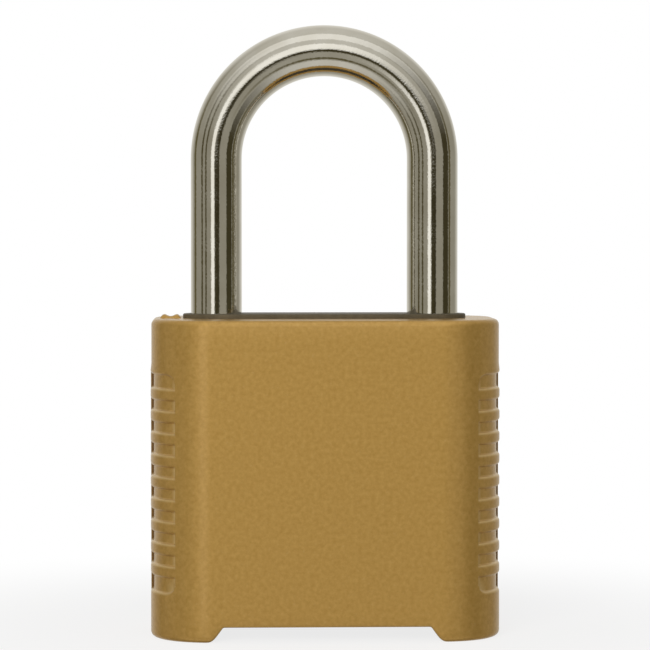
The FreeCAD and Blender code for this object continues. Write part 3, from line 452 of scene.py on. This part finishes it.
def stations():
    """The whole plan as stations: (kind, value, sign of x, sign of y)."""
    one = quarter()
    out = [(k, v, 1, 1) for k, v in one]
    out += [(k, v, 1, -1) for k, v in reversed(one[:-1])]
    out += [(k, v, -1, -1) for k, v in one[1:]]
    out += [(k, v, -1, 1) for k, v in reversed(one[1:-1])]
    return out


def station_x(kind, value):
    return abs(plan_point(kind, value, 0)[0])


def end_mask(kind, value):
    """How much of the groove's depth a station has: none before the groove's end."""
    if kind == "front":
        return 0.0
    return interpolate(SIDE_END if kind == "side" else CORNER_END, value)


def end_drop(kind, value):
    """How far a rounded end's edge comes in from the groove's straight edge."""
    return 0.0 if kind == "side" else round_drop(station_x(kind, value))


def round_drop(x):
    """The same by x: a quarter round, a little flattened."""
    reach = max(x - GROOVE_END_X, 0.0)
    if reach >= GROOVE_ROUND:
        return 0.0
    side = GROOVE_ROUND - reach
    return (GROOVE_ROUND - math.sqrt(GROOVE_ROUND ** 2 - side ** 2)) * GROOVE_ROUND_SHARE


def shell_ring(skin, plan, inset, level):
    """One ring of the shell; inset and level may depend on the station."""
    points = []
    for kind, value, sign_x, sign_y in plan:
        depth = inset(kind, value) if callable(inset) else inset
        height = level(kind, value) if callable(level) else level
        x, y = plan_point(kind, value, depth)
        points.append((sign_x * x, sign_y * y, height))
    return skin.ring(points)


def recess_ring(skin, plan, grow, level):
    """A ring round the seal's recess with the same number of stations as the plan."""
    radius = SEAL_R + grow
    straight = SEAL_HALF - SEAL_R
    corner_length = CORNER * math.pi / 2
    total = corner_length + HALF_D - CORNER
    points = []
    for kind, value, sign_x, sign_y in plan:
        if kind == "front":
            x, y = value * straight / (HALF_W - CORNER), -radius
        else:
            along = corner_length * value / 90 if kind == "corner" else total + value
            angle = -math.pi / 2 * (1 - along / total)
            x, y = straight + radius * math.cos(angle), radius * math.sin(angle)
        points.append((sign_x * x, sign_y * y, level))
    return skin.ring(points)


def plain(kind, value):
    """How far the corners and sides above the grip lie inside its ribs."""
    if kind == "front":
        return 0.0
    return PLAIN_INSET * (interpolate(PLAIN_CORNER, value) if kind == "corner" else 1)


def under_level(kind, value):
    """The level of the lower edge: the notch's over the middle, 0 at the feet."""
    return interpolate(NOTCH_LINE, station_x(kind, value))


def under_round(kind, value):
    """The lower edge's radius: small over the notch, larger round the feet."""
    return interpolate(UNDER_ROUND, station_x(kind, value))


def outside_rings(skin, plan):
    """The shell's rings from the seal's recess over the top and down the outside to the feet."""
    rings = [recess_ring(skin, plan, grow, level) for grow, level in RECESS_RIM]
    rings.append(shell_ring(skin, plan, TOP_FACE_INSET, TOP))
    for across, down in arc_steps(7):
        rings.append(shell_ring(skin, plan, lambda k, v, a=across: EDGE_ROUND * a + plain(k, v),
                                TOP - EDGE_ROUND * down))
    for level in ABOVE_GRIP:
        rings.append(shell_ring(skin, plan, plain, level))
    for low, high, rounded in grooves():
        for offset, depth in EDGE_PROFILE:
            rings.append(shell_ring(
                skin, plan, lambda k, v, d=depth: d * end_mask(k, v),
                lambda k, v, o=offset, h=high, r=rounded: h + o - (end_drop(k, v) if r == "high" else 0)))
        for offset, depth in reversed(EDGE_PROFILE):
            rings.append(shell_ring(
                skin, plan, lambda k, v, d=depth: d * end_mask(k, v),
                lambda k, v, o=offset, z=low, r=rounded: z - o + (end_drop(k, v) if r == "low" else 0)))
    for level in BELOW_GRIP:
        rings.append(shell_ring(skin, plan, 0.0, level))
    return rings


def under_rings(skin, plan):
    """The rings round the lower edge and up the inside of the wall to the cavity's ceiling."""
    rings = []
    for across, down in reversed(arc_steps(6)):
        rings.append(shell_ring(
            skin, plan, lambda k, v, a=across: a * under_round(k, v),
            lambda k, v, d=down: under_level(k, v) + d * under_round(k, v)))
    rings.append(shell_ring(skin, plan, WALL - RIM_FLAT, under_level))
    for across, down in arc_steps(3):
        rings.append(shell_ring(
            skin, plan, WALL - RIM_ROUND * across, lambda k, v, d=down: under_level(k, v) + RIM_ROUND * d))
    for level in (PLATE_TOP, CAVITY_TOP):
        rings.append(shell_ring(skin, plan, WALL, level))
    return rings


def make_shell():
    skin = Skin()
    plan = stations()
    rings = outside_rings(skin, plan) + under_rings(skin, plan)
    skin.bridge_all(rings)
    skin.cap(rings[-1])
    heads = []
    for x, steps in ((-LEG_X, HEEL_HOLE), (LEG_X, TOE_HOLE)):
        hole = [skin.ring(circle(x, 0, level, radius, HOLE_COUNT)) for level, radius in steps]
        skin.bridge_all(hole)
        skin.cap(hole[-1])
        heads.append(hole[0])
    skin.fill(rings[0], *heads)
    top_ribs(skin)
    shell = new_piece("shell_skin", skin.points, skin.faces, ["paint"])
    # Per-point masks for the paint: painted shade at the grooves' end walls, painted highlight on their
    # lower edges and inner ends
    for name, rule in (("groove_end_shade", end_shade), ("groove_lip_highlight", lip_light)):
        values = shell.data.attributes.new(name, "FLOAT", "POINT")
        values.data.foreach_set("value", [rule(v.co / MM) for v in shell.data.vertices])
    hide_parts("body_shell")
    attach(shell, "case")


def end_shade(point):
    """How much painted shade a point takes: the walls that end the grooves on the sides, and beside them.
    """
    inset = HALF_W - abs(point.x)
    if not SHADE_INSETS[0] < inset < SHADE_INSETS[1] or not SHADE_LEVELS[0] < point.z < SHADE_LEVELS[1]:
        return 0.0
    return interpolate(END_SHADE, abs(point.y))


def lip_light(point):
    """How much painted highlight a point takes: the paint made paler on the lower edges and inner ends of
    the grooves.
    """
    x = abs(point.x)
    if x < GROOVE_END_X - LIP_MARGIN or abs(point.y) < GROOVE_END_Y:
        return 0.0
    out = 0.0
    for low, high, rounded in grooves():
        above = point.z - low - (round_drop(x) if rounded == "low" else 0)
        out = max(out, interpolate(LIP_EDGE, max(above, LIP_EDGE[0][0])))
        first = low + (GROOVE_ROUND if rounded == "low" else 0)
        last = high - (GROOVE_ROUND if rounded == "high" else 0)
        if first < point.z < last:
            out = max(out, interpolate(LIP_END, x - GROOVE_END_X))
    return out


# The two ribs on the top face: half of their wavy section as (x, height), and their length as (y, share)
RIB_WAVE = [(-1.655, 0.0), (-1.52, 0.22), (-1.36, 0.4), (-1.18, 0.53), (-0.975, 0.58), (-0.75, 0.53),
            (-0.5, 0.4), (-0.25, 0.31)]
RIB_VALLEY = 0.28
RIB_LENGTH = [(-1.7, 0.0), (-1.67, 0.45), (-1.55, 0.8), (-1.35, 0.96), (-1.1, 1.0), (1.1, 1.0),
              (1.35, 0.96), (1.55, 0.8), (1.67, 0.45), (1.7, 0.0)]
RIB_SUNK = 0.2


def top_ribs(skin):
    """Two low ribs side by side, as one wavy strip whose ends are rounded off."""
    wave = RIB_WAVE + [(0.0, RIB_VALLEY)] + [(-x, z) for x, z in reversed(RIB_WAVE)]
    half = -RIB_WAVE[0][0]
    rings = []
    for y, share in RIB_LENGTH:
        ring = [(RIB_X + x, y, TOP + z * share) for x, z in wave]
        rings.append(skin.ring(ring + [(RIB_X + x, y, TOP - RIB_SUNK) for x in (half, -half)]))
    skin.bridge_all(rings)
    skin.cap(rings[0], rings[-1])


# Shackle

ROD_COUNT, BOW_STEPS, LEG_STEPS = 96, 96, 8
SPRING_BORE_R, SPRING_BORE_DEEP = 1.9, 15.0
NECK_R, NECK_LOW, NECK_HIGH = 3.2, 23.1, 23.8
NOTCH_LOW, NOTCH_HIGH, NOTCH_DEPTH = 36.8, 44.8, 2.1
NOTCH_SLOPE, NOTCH_ROOF_SLOPE = 0.2625, 0.5
TOE_LEG_LOW = 48.0
NOTCH_LEVELS = (46.5, 45.85, 45.6, 45.3, 44.9, NOTCH_HIGH, 44.6, 43.0, 41.0, 39.0, 37.5, 36.9, NOTCH_LOW)

# The toe's rounded and chamfered end: (height over the end, how much smaller the radius is)
TOE_TIP = [(0.85, 0.0), (0.75, 0.03), (0.05, 0.75), (0.0, 0.88)]


def make_shackle():
    """One rod, swept from the heel's end over the bow to the toe, with its bore, neck and notch."""
    skin = Skin()

    def across(x, z, radius, tilt=0.0, notch=False):
        points = []
        for k in range(ROD_COUNT):
            turn = 2 * math.pi * k / ROD_COUNT
            out = radius * math.cos(turn)
            px = x + out * math.cos(tilt)
            pz = z + out * math.sin(tilt)
            if notch:
                px = max(px, notch_face(pz))
            points.append((px, radius * math.sin(turn), pz))
        return skin.ring(points)

    heel = [(HEEL_END + SPRING_BORE_DEEP, SPRING_BORE_R), (HEEL_END, SPRING_BORE_R), (HEEL_END, ROD),
            (NECK_LOW, ROD), (NECK_LOW, NECK_R), (NECK_HIGH, NECK_R), (NECK_HIGH, ROD)]
    rings = [across(-LEG_X, level, radius) for level, radius in heel]
    for k in range(1, LEG_STEPS + 1):
        rings.append(across(-LEG_X, NECK_HIGH + (BOW_Z - NECK_HIGH) * k / LEG_STEPS, ROD))
    for k in range(1, BOW_STEPS):
        angle = math.pi * k / BOW_STEPS
        x, z = -LEG_X * math.cos(angle), BOW_Z + LEG_X * math.sin(angle)
        rings.append(across(x, z, ROD, -angle))
    for k in range(LEG_STEPS):
        rings.append(across(LEG_X, BOW_Z - (BOW_Z - TOE_LEG_LOW) * k / (LEG_STEPS - 1), ROD, math.pi))
    for level in NOTCH_LEVELS:
        rings.append(across(LEG_X, level, ROD, math.pi, True))
    for height, less in TOE_TIP:
        rings.append(across(LEG_X, TOE_END + height, ROD - less, math.pi))
    skin.bridge_all(rings)
    skin.cap(rings[0], rings[-1])
    piece = new_piece("shackle_rod", skin.points, skin.faces, ["chrome"])
    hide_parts("shackle")
    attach(piece, "shackle")


def notch_face(level):
    """The x of the lock notch's faces in the toe leg at a level."""
    inner = LEG_X - ROD
    if level <= NOTCH_LOW:
        return inner - 1
    if level <= NOTCH_HIGH:
        return inner + NOTCH_SLOPE * (level - NOTCH_LOW)
    return inner + NOTCH_DEPTH - (level - NOTCH_HIGH) / NOTCH_ROOF_SLOPE


# Seal

SEAL_PLAY, SEAL_ROUND, SEAL_ROUND_START, SEAL_HOLE_CHAMFER = 0.05, 0.22, 0.24, 0.12
SEAL_END_STEPS = 32


def make_seal():
    """The plate round both legs: two half rounds and a straight, with a rounded top edge."""
    skin = Skin()
    half, radius = SEAL_HALF - SEAL_PLAY, SEAL_R - SEAL_PLAY
    straight = half - radius

    def outline(inset, level):
        points = []
        for side in (1, -1):
            for k in range(SEAL_END_STEPS + 1):
                angle = math.radians(-90 + 180 * k / SEAL_END_STEPS)
                reach = radius - inset
                points.append((side * (straight + reach * math.cos(angle)), side * reach * math.sin(angle),
                               level))
        return skin.ring(points)

    rings = [outline(0, SEAL_LOW), outline(0, SEAL_TOP - SEAL_ROUND_START)]
    for across, down in reversed(arc_steps(5)):
        rings.append(outline(SEAL_ROUND * across, SEAL_TOP - SEAL_ROUND * down))
    skin.bridge_all(rings)
    holes_top, holes_low = [], []
    steps = [(SEAL_TOP, BORE + SEAL_HOLE_CHAMFER), (SEAL_TOP - SEAL_HOLE_CHAMFER, BORE), (SEAL_LOW, BORE)]
    for x in (-LEG_X, LEG_X):
        hole = [skin.ring(circle(x, 0, level, reach, HOLE_COUNT)) for level, reach in steps]
        skin.bridge_all(hole)
        holes_top.append(hole[0])
        holes_low.append(hole[-1])
    skin.fill(rings[-1], *holes_top)
    skin.fill(rings[0], *holes_low)
    piece = new_piece("seal_plate", skin.points, skin.faces, ["seal"])
    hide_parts("shackle_seal")
    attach(piece, "case")


# Dials

LANDS = 10
LAND_STEP = 360 // LANDS
FLAT = 7.86
DIAL_BORE = 5.95
FIGURE_SIZE, FIGURE_HIGH, FIGURE_SUNK = 4.1, 0.06, 0.03
SHOWN = (0, 0, 0, 0)

# One land as angles, then the flute after it as (angle, radius)
LAND_ANGLES = (-11.0, -10.0, -7.0, -3.5, 0.0, 3.5, 7.0, 10.0, 11.0)
FLUTE = [(11.6, 7.96), (12.4, 7.8), (13.6, 7.55), (15.0, 7.4), (16.5, 7.33), (18.0, 7.31), (19.5, 7.33),
         (21.0, 7.4), (22.4, 7.55), (23.6, 7.8), (24.4, 7.96)]

# The rounded edge of a dial's face: (distance from the face, how much smaller the radius is)
DIAL_EDGE = [(0.0, 0.32), (0.08, 0.1), (0.28, 0.0)]


def dial_outline():
    """The whole outline of a dial, as (angle in degrees, radius) pairs."""
    one = [(angle, min(FLAT / math.cos(math.radians(angle)), DIAL_R)) for angle in LAND_ANGLES] + FLUTE
    return [(angle + LAND_STEP * k, radius) for k in range(LANDS) for angle, radius in one]


def figure_points(figure):
    """A numeral's solid mesh, flat on XY and centred: points in mm and faces."""
    curve = bpy.data.curves.new("figure", "FONT")
    curve.body = figure
    curve.align_x = "CENTER"
    curve.align_y = "CENTER"
    curve.size = FIGURE_SIZE
    curve.extrude = FIGURE_HIGH
    curve.resolution_u = 5
    holder = bpy.data.objects.new("figure", curve)
    bpy.context.scene.collection.objects.link(holder)
    mesh = bpy.data.meshes.new_from_object(holder)
    xs = [v.co.x for v in mesh.vertices]
    ys = [v.co.y for v in mesh.vertices]
    mid_x, mid_y = (min(xs) + max(xs)) / 2, (min(ys) + max(ys)) / 2
    points = [(v.co.x - mid_x, v.co.y - mid_y, v.co.z) for v in mesh.vertices]
    faces = [tuple(p.vertices) for p in mesh.polygons]
    bpy.data.objects.remove(holder)
    bpy.data.meshes.remove(mesh)
    bpy.data.curves.remove(curve)
    return points, faces


def dial_ring(skin, x, reaches):
    """A ring round the dials' axis at x, from (angle in radians, radius) pairs."""
    return skin.ring([(x, reach * math.sin(turn), DIAL_Z - reach * math.cos(turn))
                      for turn, reach in reaches])


def add_figure(skin, figure, centre, turn):
    """A numeral on the land that lies at a turn from the lowest one; gives its number of faces."""
    points, faces = figure
    start = len(skin.points)
    for x, y, z in points:
        py, pz = -y, -(FLAT - FIGURE_SUNK + z)
        skin.points.append((centre + x, py * math.cos(turn) - pz * math.sin(turn),
                            DIAL_Z + py * math.sin(turn) + pz * math.cos(turn)))
    skin.faces += [tuple(start + v for v in face) for face in faces]
    return len(faces)


def make_dial(index, figures, shown):
    """A dial with ten flat lands; the land for the shown numeral faces down at rest."""
    skin = Skin()
    centre = (index - 1.5) * PITCH
    half = DIAL_W / 2
    outline = [(math.radians(angle), radius) for angle, radius in dial_outline()]
    bore = [(2 * math.pi * k / len(outline), DIAL_BORE) for k in range(len(outline))]
    rings = [dial_ring(skin, centre - half, bore)]
    for side, edge in ((-1, DIAL_EDGE), (1, DIAL_EDGE[::-1])):
        for inward, shrink in edge:
            reaches = [(turn, radius - shrink) for turn, radius in outline]
            rings.append(dial_ring(skin, centre + side * half - side * inward, reaches))
    rings.append(dial_ring(skin, centre + half, bore))
    skin.bridge_all(rings)
    skin.bridge(rings[-1], rings[0])
    looks = [0] * len(skin.faces)
    for k in range(LANDS):
        count = add_figure(skin, figures[(shown + k) % LANDS], centre, math.radians(LAND_STEP * k))
        looks += [1] * count
    piece = new_piece(f"dial_ring_{index + 1}", skin.points, skin.faces, ["dial", "ink"], looks)
    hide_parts(f"dial_{index + 1}")
    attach(piece, f"dial_{index + 1}")


def make_dials():
    figures = [figure_points(str(number)) for number in range(LANDS)]
    for index, shown in enumerate(SHOWN):
        make_dial(index, figures, shown)


# Screws of the bottom plate

SCREW_X, SCREW_Y = 20.8, 7.5
SCREW_COUNT = 48
SHANK_R, SHANK_TOP, HEAD_R = 1.1, 12.75, 1.95

# The socket's rings and the head's, from the socket's floor outwards: (height over the head's face, size)
SOCKET = [(0.55, 0.85), (0.04, 0.85), (0.0, 0.92)]
HEAD = [(0.0, 1.7), (0.06, 1.87), (0.2, HEAD_R), (0.75, HEAD_R), (0.75, SHANK_R)]


def hexagon(x, y, z, size):
    """Points round a hexagon as far apart by angle as those of a circle, so that both can be bridged."""
    points = []
    for k in range(SCREW_COUNT):
        turn = 2 * math.pi * k / SCREW_COUNT
        part = (turn + math.pi / 6) % (math.pi / 3) - math.pi / 6
        reach = size * math.cos(math.pi / 6) / math.cos(part)
        points.append((x + reach * math.cos(turn), y + reach * math.sin(turn), z))
    return points


def make_plate_screws():
    """Four flat-headed screws with a hexagon socket, in one piece of four shells."""
    skin = Skin()
    for x in (-SCREW_X, SCREW_X):
        for y in (-SCREW_Y, SCREW_Y):
            rings = [skin.ring(hexagon(x, y, PLATE_LOW + height, size)) for height, size in SOCKET]
            for height, radius in HEAD + [(SHANK_TOP - PLATE_LOW, SHANK_R)]:
                rings.append(skin.ring(circle(x, y, PLATE_LOW + height, radius, SCREW_COUNT)))
            skin.bridge_all(rings)
            skin.cap(rings[0], rings[-1])
    piece = new_piece("plate_screw_set", skin.points, skin.faces, ["black_steel"])
    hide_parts("plate_screws")
    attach(piece, "case")


# Camera, light and floor

CAMERA_DISTANCE, CAMERA_AZIMUTH, CAMERA_ELEVATION = 0.470, -1.941, 1.951
CAMERA_TARGET = (0.0001, 0.0, 0.04838)
SENSOR_WIDTH, LENS = 36.0, 165.14


def make_camera():
    """A long lens from nearly straight ahead, a little to the left and above."""
    azimuth, elevation = math.radians(CAMERA_AZIMUTH), math.radians(CAMERA_ELEVATION)
    target = Vector(CAMERA_TARGET)
    away = Vector((math.sin(azimuth) * math.cos(elevation), -math.cos(azimuth) * math.cos(elevation),
                   math.sin(elevation)))
    data = bpy.data.cameras.new("camera")
    data.sensor_width = SENSOR_WIDTH
    data.lens = LENS
    data.clip_start = 0.01
    camera = bpy.data.objects.new("camera", data)
    bpy.context.scene.collection.objects.link(camera)
    camera.location = target + away * CAMERA_DISTANCE
    camera.rotation_euler = (target - camera.location).to_track_quat("-Z", "Y").to_euler()
    bpy.context.scene.camera = camera


# What the gloss shows of the studio, on each of its four sides: the wall's level, then the soft boxes and
# dark flags before it, each from one angle to another and with its level. The angles start at the camera's
# dark room in front, and the pale backdrop, half reached at its second angle, is at 180 degrees.
BACKDROP = 0.85
BACKDROP_START, BACKDROP_HALF = 120, 140
SOFT_EDGE = 3
STUDIO = {
    "left": (0.3, [(0, 6, 0.04), (10, 22, 1.0), (46, 50, 0.08), (65, 70, 0.08), (105, 115, 0.12)]),
    "right": (0.3, [(0, 12, 0.04), (48, 72, 0.05), (78, 85, 0.1)]),
    "down": (0.35, [(0, 6, 0.06), (34, 39, 0.1), (47, 72, 0.6), (86, 108, 0.04)]),
    "up": (0.6, [(0, 2, 0.05), (7, 28, 1.0), (52, 78, 0.9)]),
}

# How the upper and lower sides take over from the left and right ones, by slope (0 level, 1 upright)
STEEP_SHARE = [(0.0, 0.0), (0.12, 0.0), (0.3, 0.15), (0.5, 0.5), (0.7, 0.85), (0.9, 1.0), (1.0, 1.0)]

# The even light of all that isn't gloss, once round from behind by the left, and from below to above
EVEN_ROUND = [(0.0, 0.8), (0.25, 0.75), (0.42, 1.1), (0.55, 1.05), (0.75, 0.6), (1.0, 0.8)]
EVEN_HEIGHT = [(0.0, 1.0), (0.58, 1.0), (0.75, 0.5), (0.9, 0.2), (1.0, 0.2)]
WHITE = (1.0, 1.0, 1.0)


def side_stops(wall, cards):
    """The light levels of one side of the studio, as (angle, level) pairs for a ramp."""
    stops = []
    for start, end, level in cards:
        if start:
            stops.append((start - SOFT_EDGE, wall))
        stops += [(start, level), (end, level), (end + SOFT_EDGE, wall)]
    return stops + [(BACKDROP_START, wall), (BACKDROP_HALF, (wall + BACKDROP) / 2), (180, BACKDROP)]


def warm(value):
    """A grey level with the studio's tint: near white when bright, olive when dark."""
    tint = min(0.3 / value, 2.5)
    return value, value * (1 - 0.06 * tint), value * (1 - 0.24 * tint)


def gloss_light(nodes, x, y, z):
    """The colour that gloss shows in a direction: the four sides of the studio, blended by slope."""
    away = nodes.math("SUBTRACT", 1.0, nodes.math("DIVIDE", nodes.math("ARCCOSINE", y), math.pi))
    sides = {name: nodes.ramp(away, [(angle / 180, warm(level)) for angle, level in side_stops(*side)])
             for name, side in STUDIO.items()}
    level = nodes.mix(nodes.math("GREATER_THAN", x, 0.0), sides["left"], sides["right"])
    steep = nodes.mix(nodes.math("GREATER_THAN", z, 0.0), sides["down"], sides["up"])
    slope = nodes.math("ARCTAN2", nodes.math("ABSOLUTE", z), nodes.math("ABSOLUTE", x))
    return nodes.mix(nodes.ramp(nodes.math("DIVIDE", slope, math.pi / 2), STEEP_SHARE), level, steep)


def even_light(nodes, x, y, z):
    """The level of the even light in a direction."""
    turn = nodes.math("ARCTAN2", x, nodes.math("MULTIPLY", y, -1.0))
    part = nodes.math("ADD", nodes.math("DIVIDE", turn, 2 * math.pi), 0.5)
    height = nodes.math("ADD", nodes.math("MULTIPLY", z, 0.5), 0.5)
    return nodes.mix(1.0, nodes.ramp(part, EVEN_ROUND), nodes.ramp(height, EVEN_HEIGHT), "MULTIPLY")


def make_world():
    """White to the camera, soft cards for what is glossy, an even light that falls off to the sides."""
    world = bpy.data.worlds.new("studio")
    bpy.context.scene.world = world
    world.use_nodes = True
    nodes = Nodes(world.node_tree)
    place = nodes.tree.nodes.new("ShaderNodeTexCoord").outputs["Generated"]
    split = nodes.tree.nodes.new("ShaderNodeSeparateXYZ")
    nodes.link(place, split.inputs[0])
    path = nodes.tree.nodes.new("ShaderNodeLightPath")
    even = even_light(nodes, *split.outputs)
    plain = nodes.mix(path.outputs["Is Glossy Ray"], even, gloss_light(nodes, *split.outputs))
    seen = nodes.mix(path.outputs["Is Camera Ray"], plain, WHITE)
    background = nodes.tree.nodes.new("ShaderNodeBackground")
    nodes.link(seen, background.inputs["Color"])
    output = nodes.tree.nodes.new("ShaderNodeOutputWorld")
    nodes.link(background.outputs[0], output.inputs[0])


# Area lights, aimed at the lock's middle: (name, place in m, size in m, power in W)
LIGHTS = [("key", (-0.2, -0.66, 0.2), 0.35, 3.2), ("fill", (0.35, -0.6, 0.1), 0.4, 0.4)]
LIGHT_TARGET = (0, 0, 0.04)
LIGHT_COLOUR = (1.0, 0.985, 0.96)


def make_lights():
    """Square lights that the gloss doesn't show."""
    for name, place, size, power in LIGHTS:
        data = bpy.data.lights.new(name, "AREA")
        data.shape = "SQUARE"
        data.size = size
        data.energy = power
        data.color = LIGHT_COLOUR
        light = bpy.data.objects.new(name, data)
        bpy.context.scene.collection.objects.link(light)
        light.location = place
        light.rotation_euler = (Vector(LIGHT_TARGET) - Vector(place)).to_track_quat("-Z", "Y").to_euler()
        light.visible_glossy = False


# The floor in m: half its width, how far it lies below the feet, and how its glow comes in by distance
FLOOR_HALF, FLOOR_BELOW = 3.0, 0.00002
FLOOR_FADE = (("From Min", 0.035), ("From Max", 0.12), ("To Min", 0.8), ("To Max", 1.0))


def make_floor():
    """A pale floor that keeps the lock's soft shadow and goes over into the white behind it."""
    material, nodes, shader, place = new_material("white_floor")
    grain = texture(nodes, "ShaderNodeTexNoise", place, 60.0, Detail=2.0)
    nodes.link(nodes.mix(grain.outputs["Fac"], (0.93, 0.93, 0.93), (0.96, 0.96, 0.96)),
               shader.inputs["Base Color"])
    shader.inputs["Roughness"].default_value = 0.8
    reach = nodes.tree.nodes.new("ShaderNodeVectorMath")
    reach.operation = "LENGTH"
    nodes.link(place, reach.inputs[0])
    fade = nodes.tree.nodes.new("ShaderNodeMapRange")
    fade.interpolation_type = "SMOOTHSTEP"
    nodes.link(reach.outputs["Value"], fade.inputs["Value"])
    for key, number in FLOOR_FADE:
        fade.inputs[key].default_value = number
    glow = nodes.tree.nodes.new("ShaderNodeEmission")
    both = nodes.tree.nodes.new("ShaderNodeMixShader")
    path = nodes.tree.nodes.new("ShaderNodeLightPath")
    nodes.link(nodes.math("MULTIPLY", fade.outputs[0], path.outputs["Is Camera Ray"]), both.inputs[0])
    nodes.link(shader.outputs[0], both.inputs[1])
    nodes.link(glow.outputs[0], both.inputs[2])
    output = next(n for n in nodes.tree.nodes if n.bl_idname == "ShaderNodeOutputMaterial")
    nodes.link(both.outputs[0], output.inputs[0])
    mesh = bpy.data.meshes.new("floor")
    corners = [(x * FLOOR_HALF, y * FLOOR_HALF, 0) for x, y in ((-1, -1), (1, -1), (1, 1), (-1, 1))]
    mesh.from_pydata(corners, [], [(0, 1, 2, 3)])
    mesh.materials.append(material)
    floor = bpy.data.objects.new("floor", mesh)
    bpy.context.scene.collection.objects.link(floor)
    floor.location.z = -FLOOR_BELOW
    floor.visible_glossy = False


dress_nodes()
make_camera()
make_shell()
make_shackle()
make_seal()
make_dials()
make_plate_screws()
make_world()
make_floor()
make_lights()
bpy.context.scene.view_settings.view_transform = "Standard"
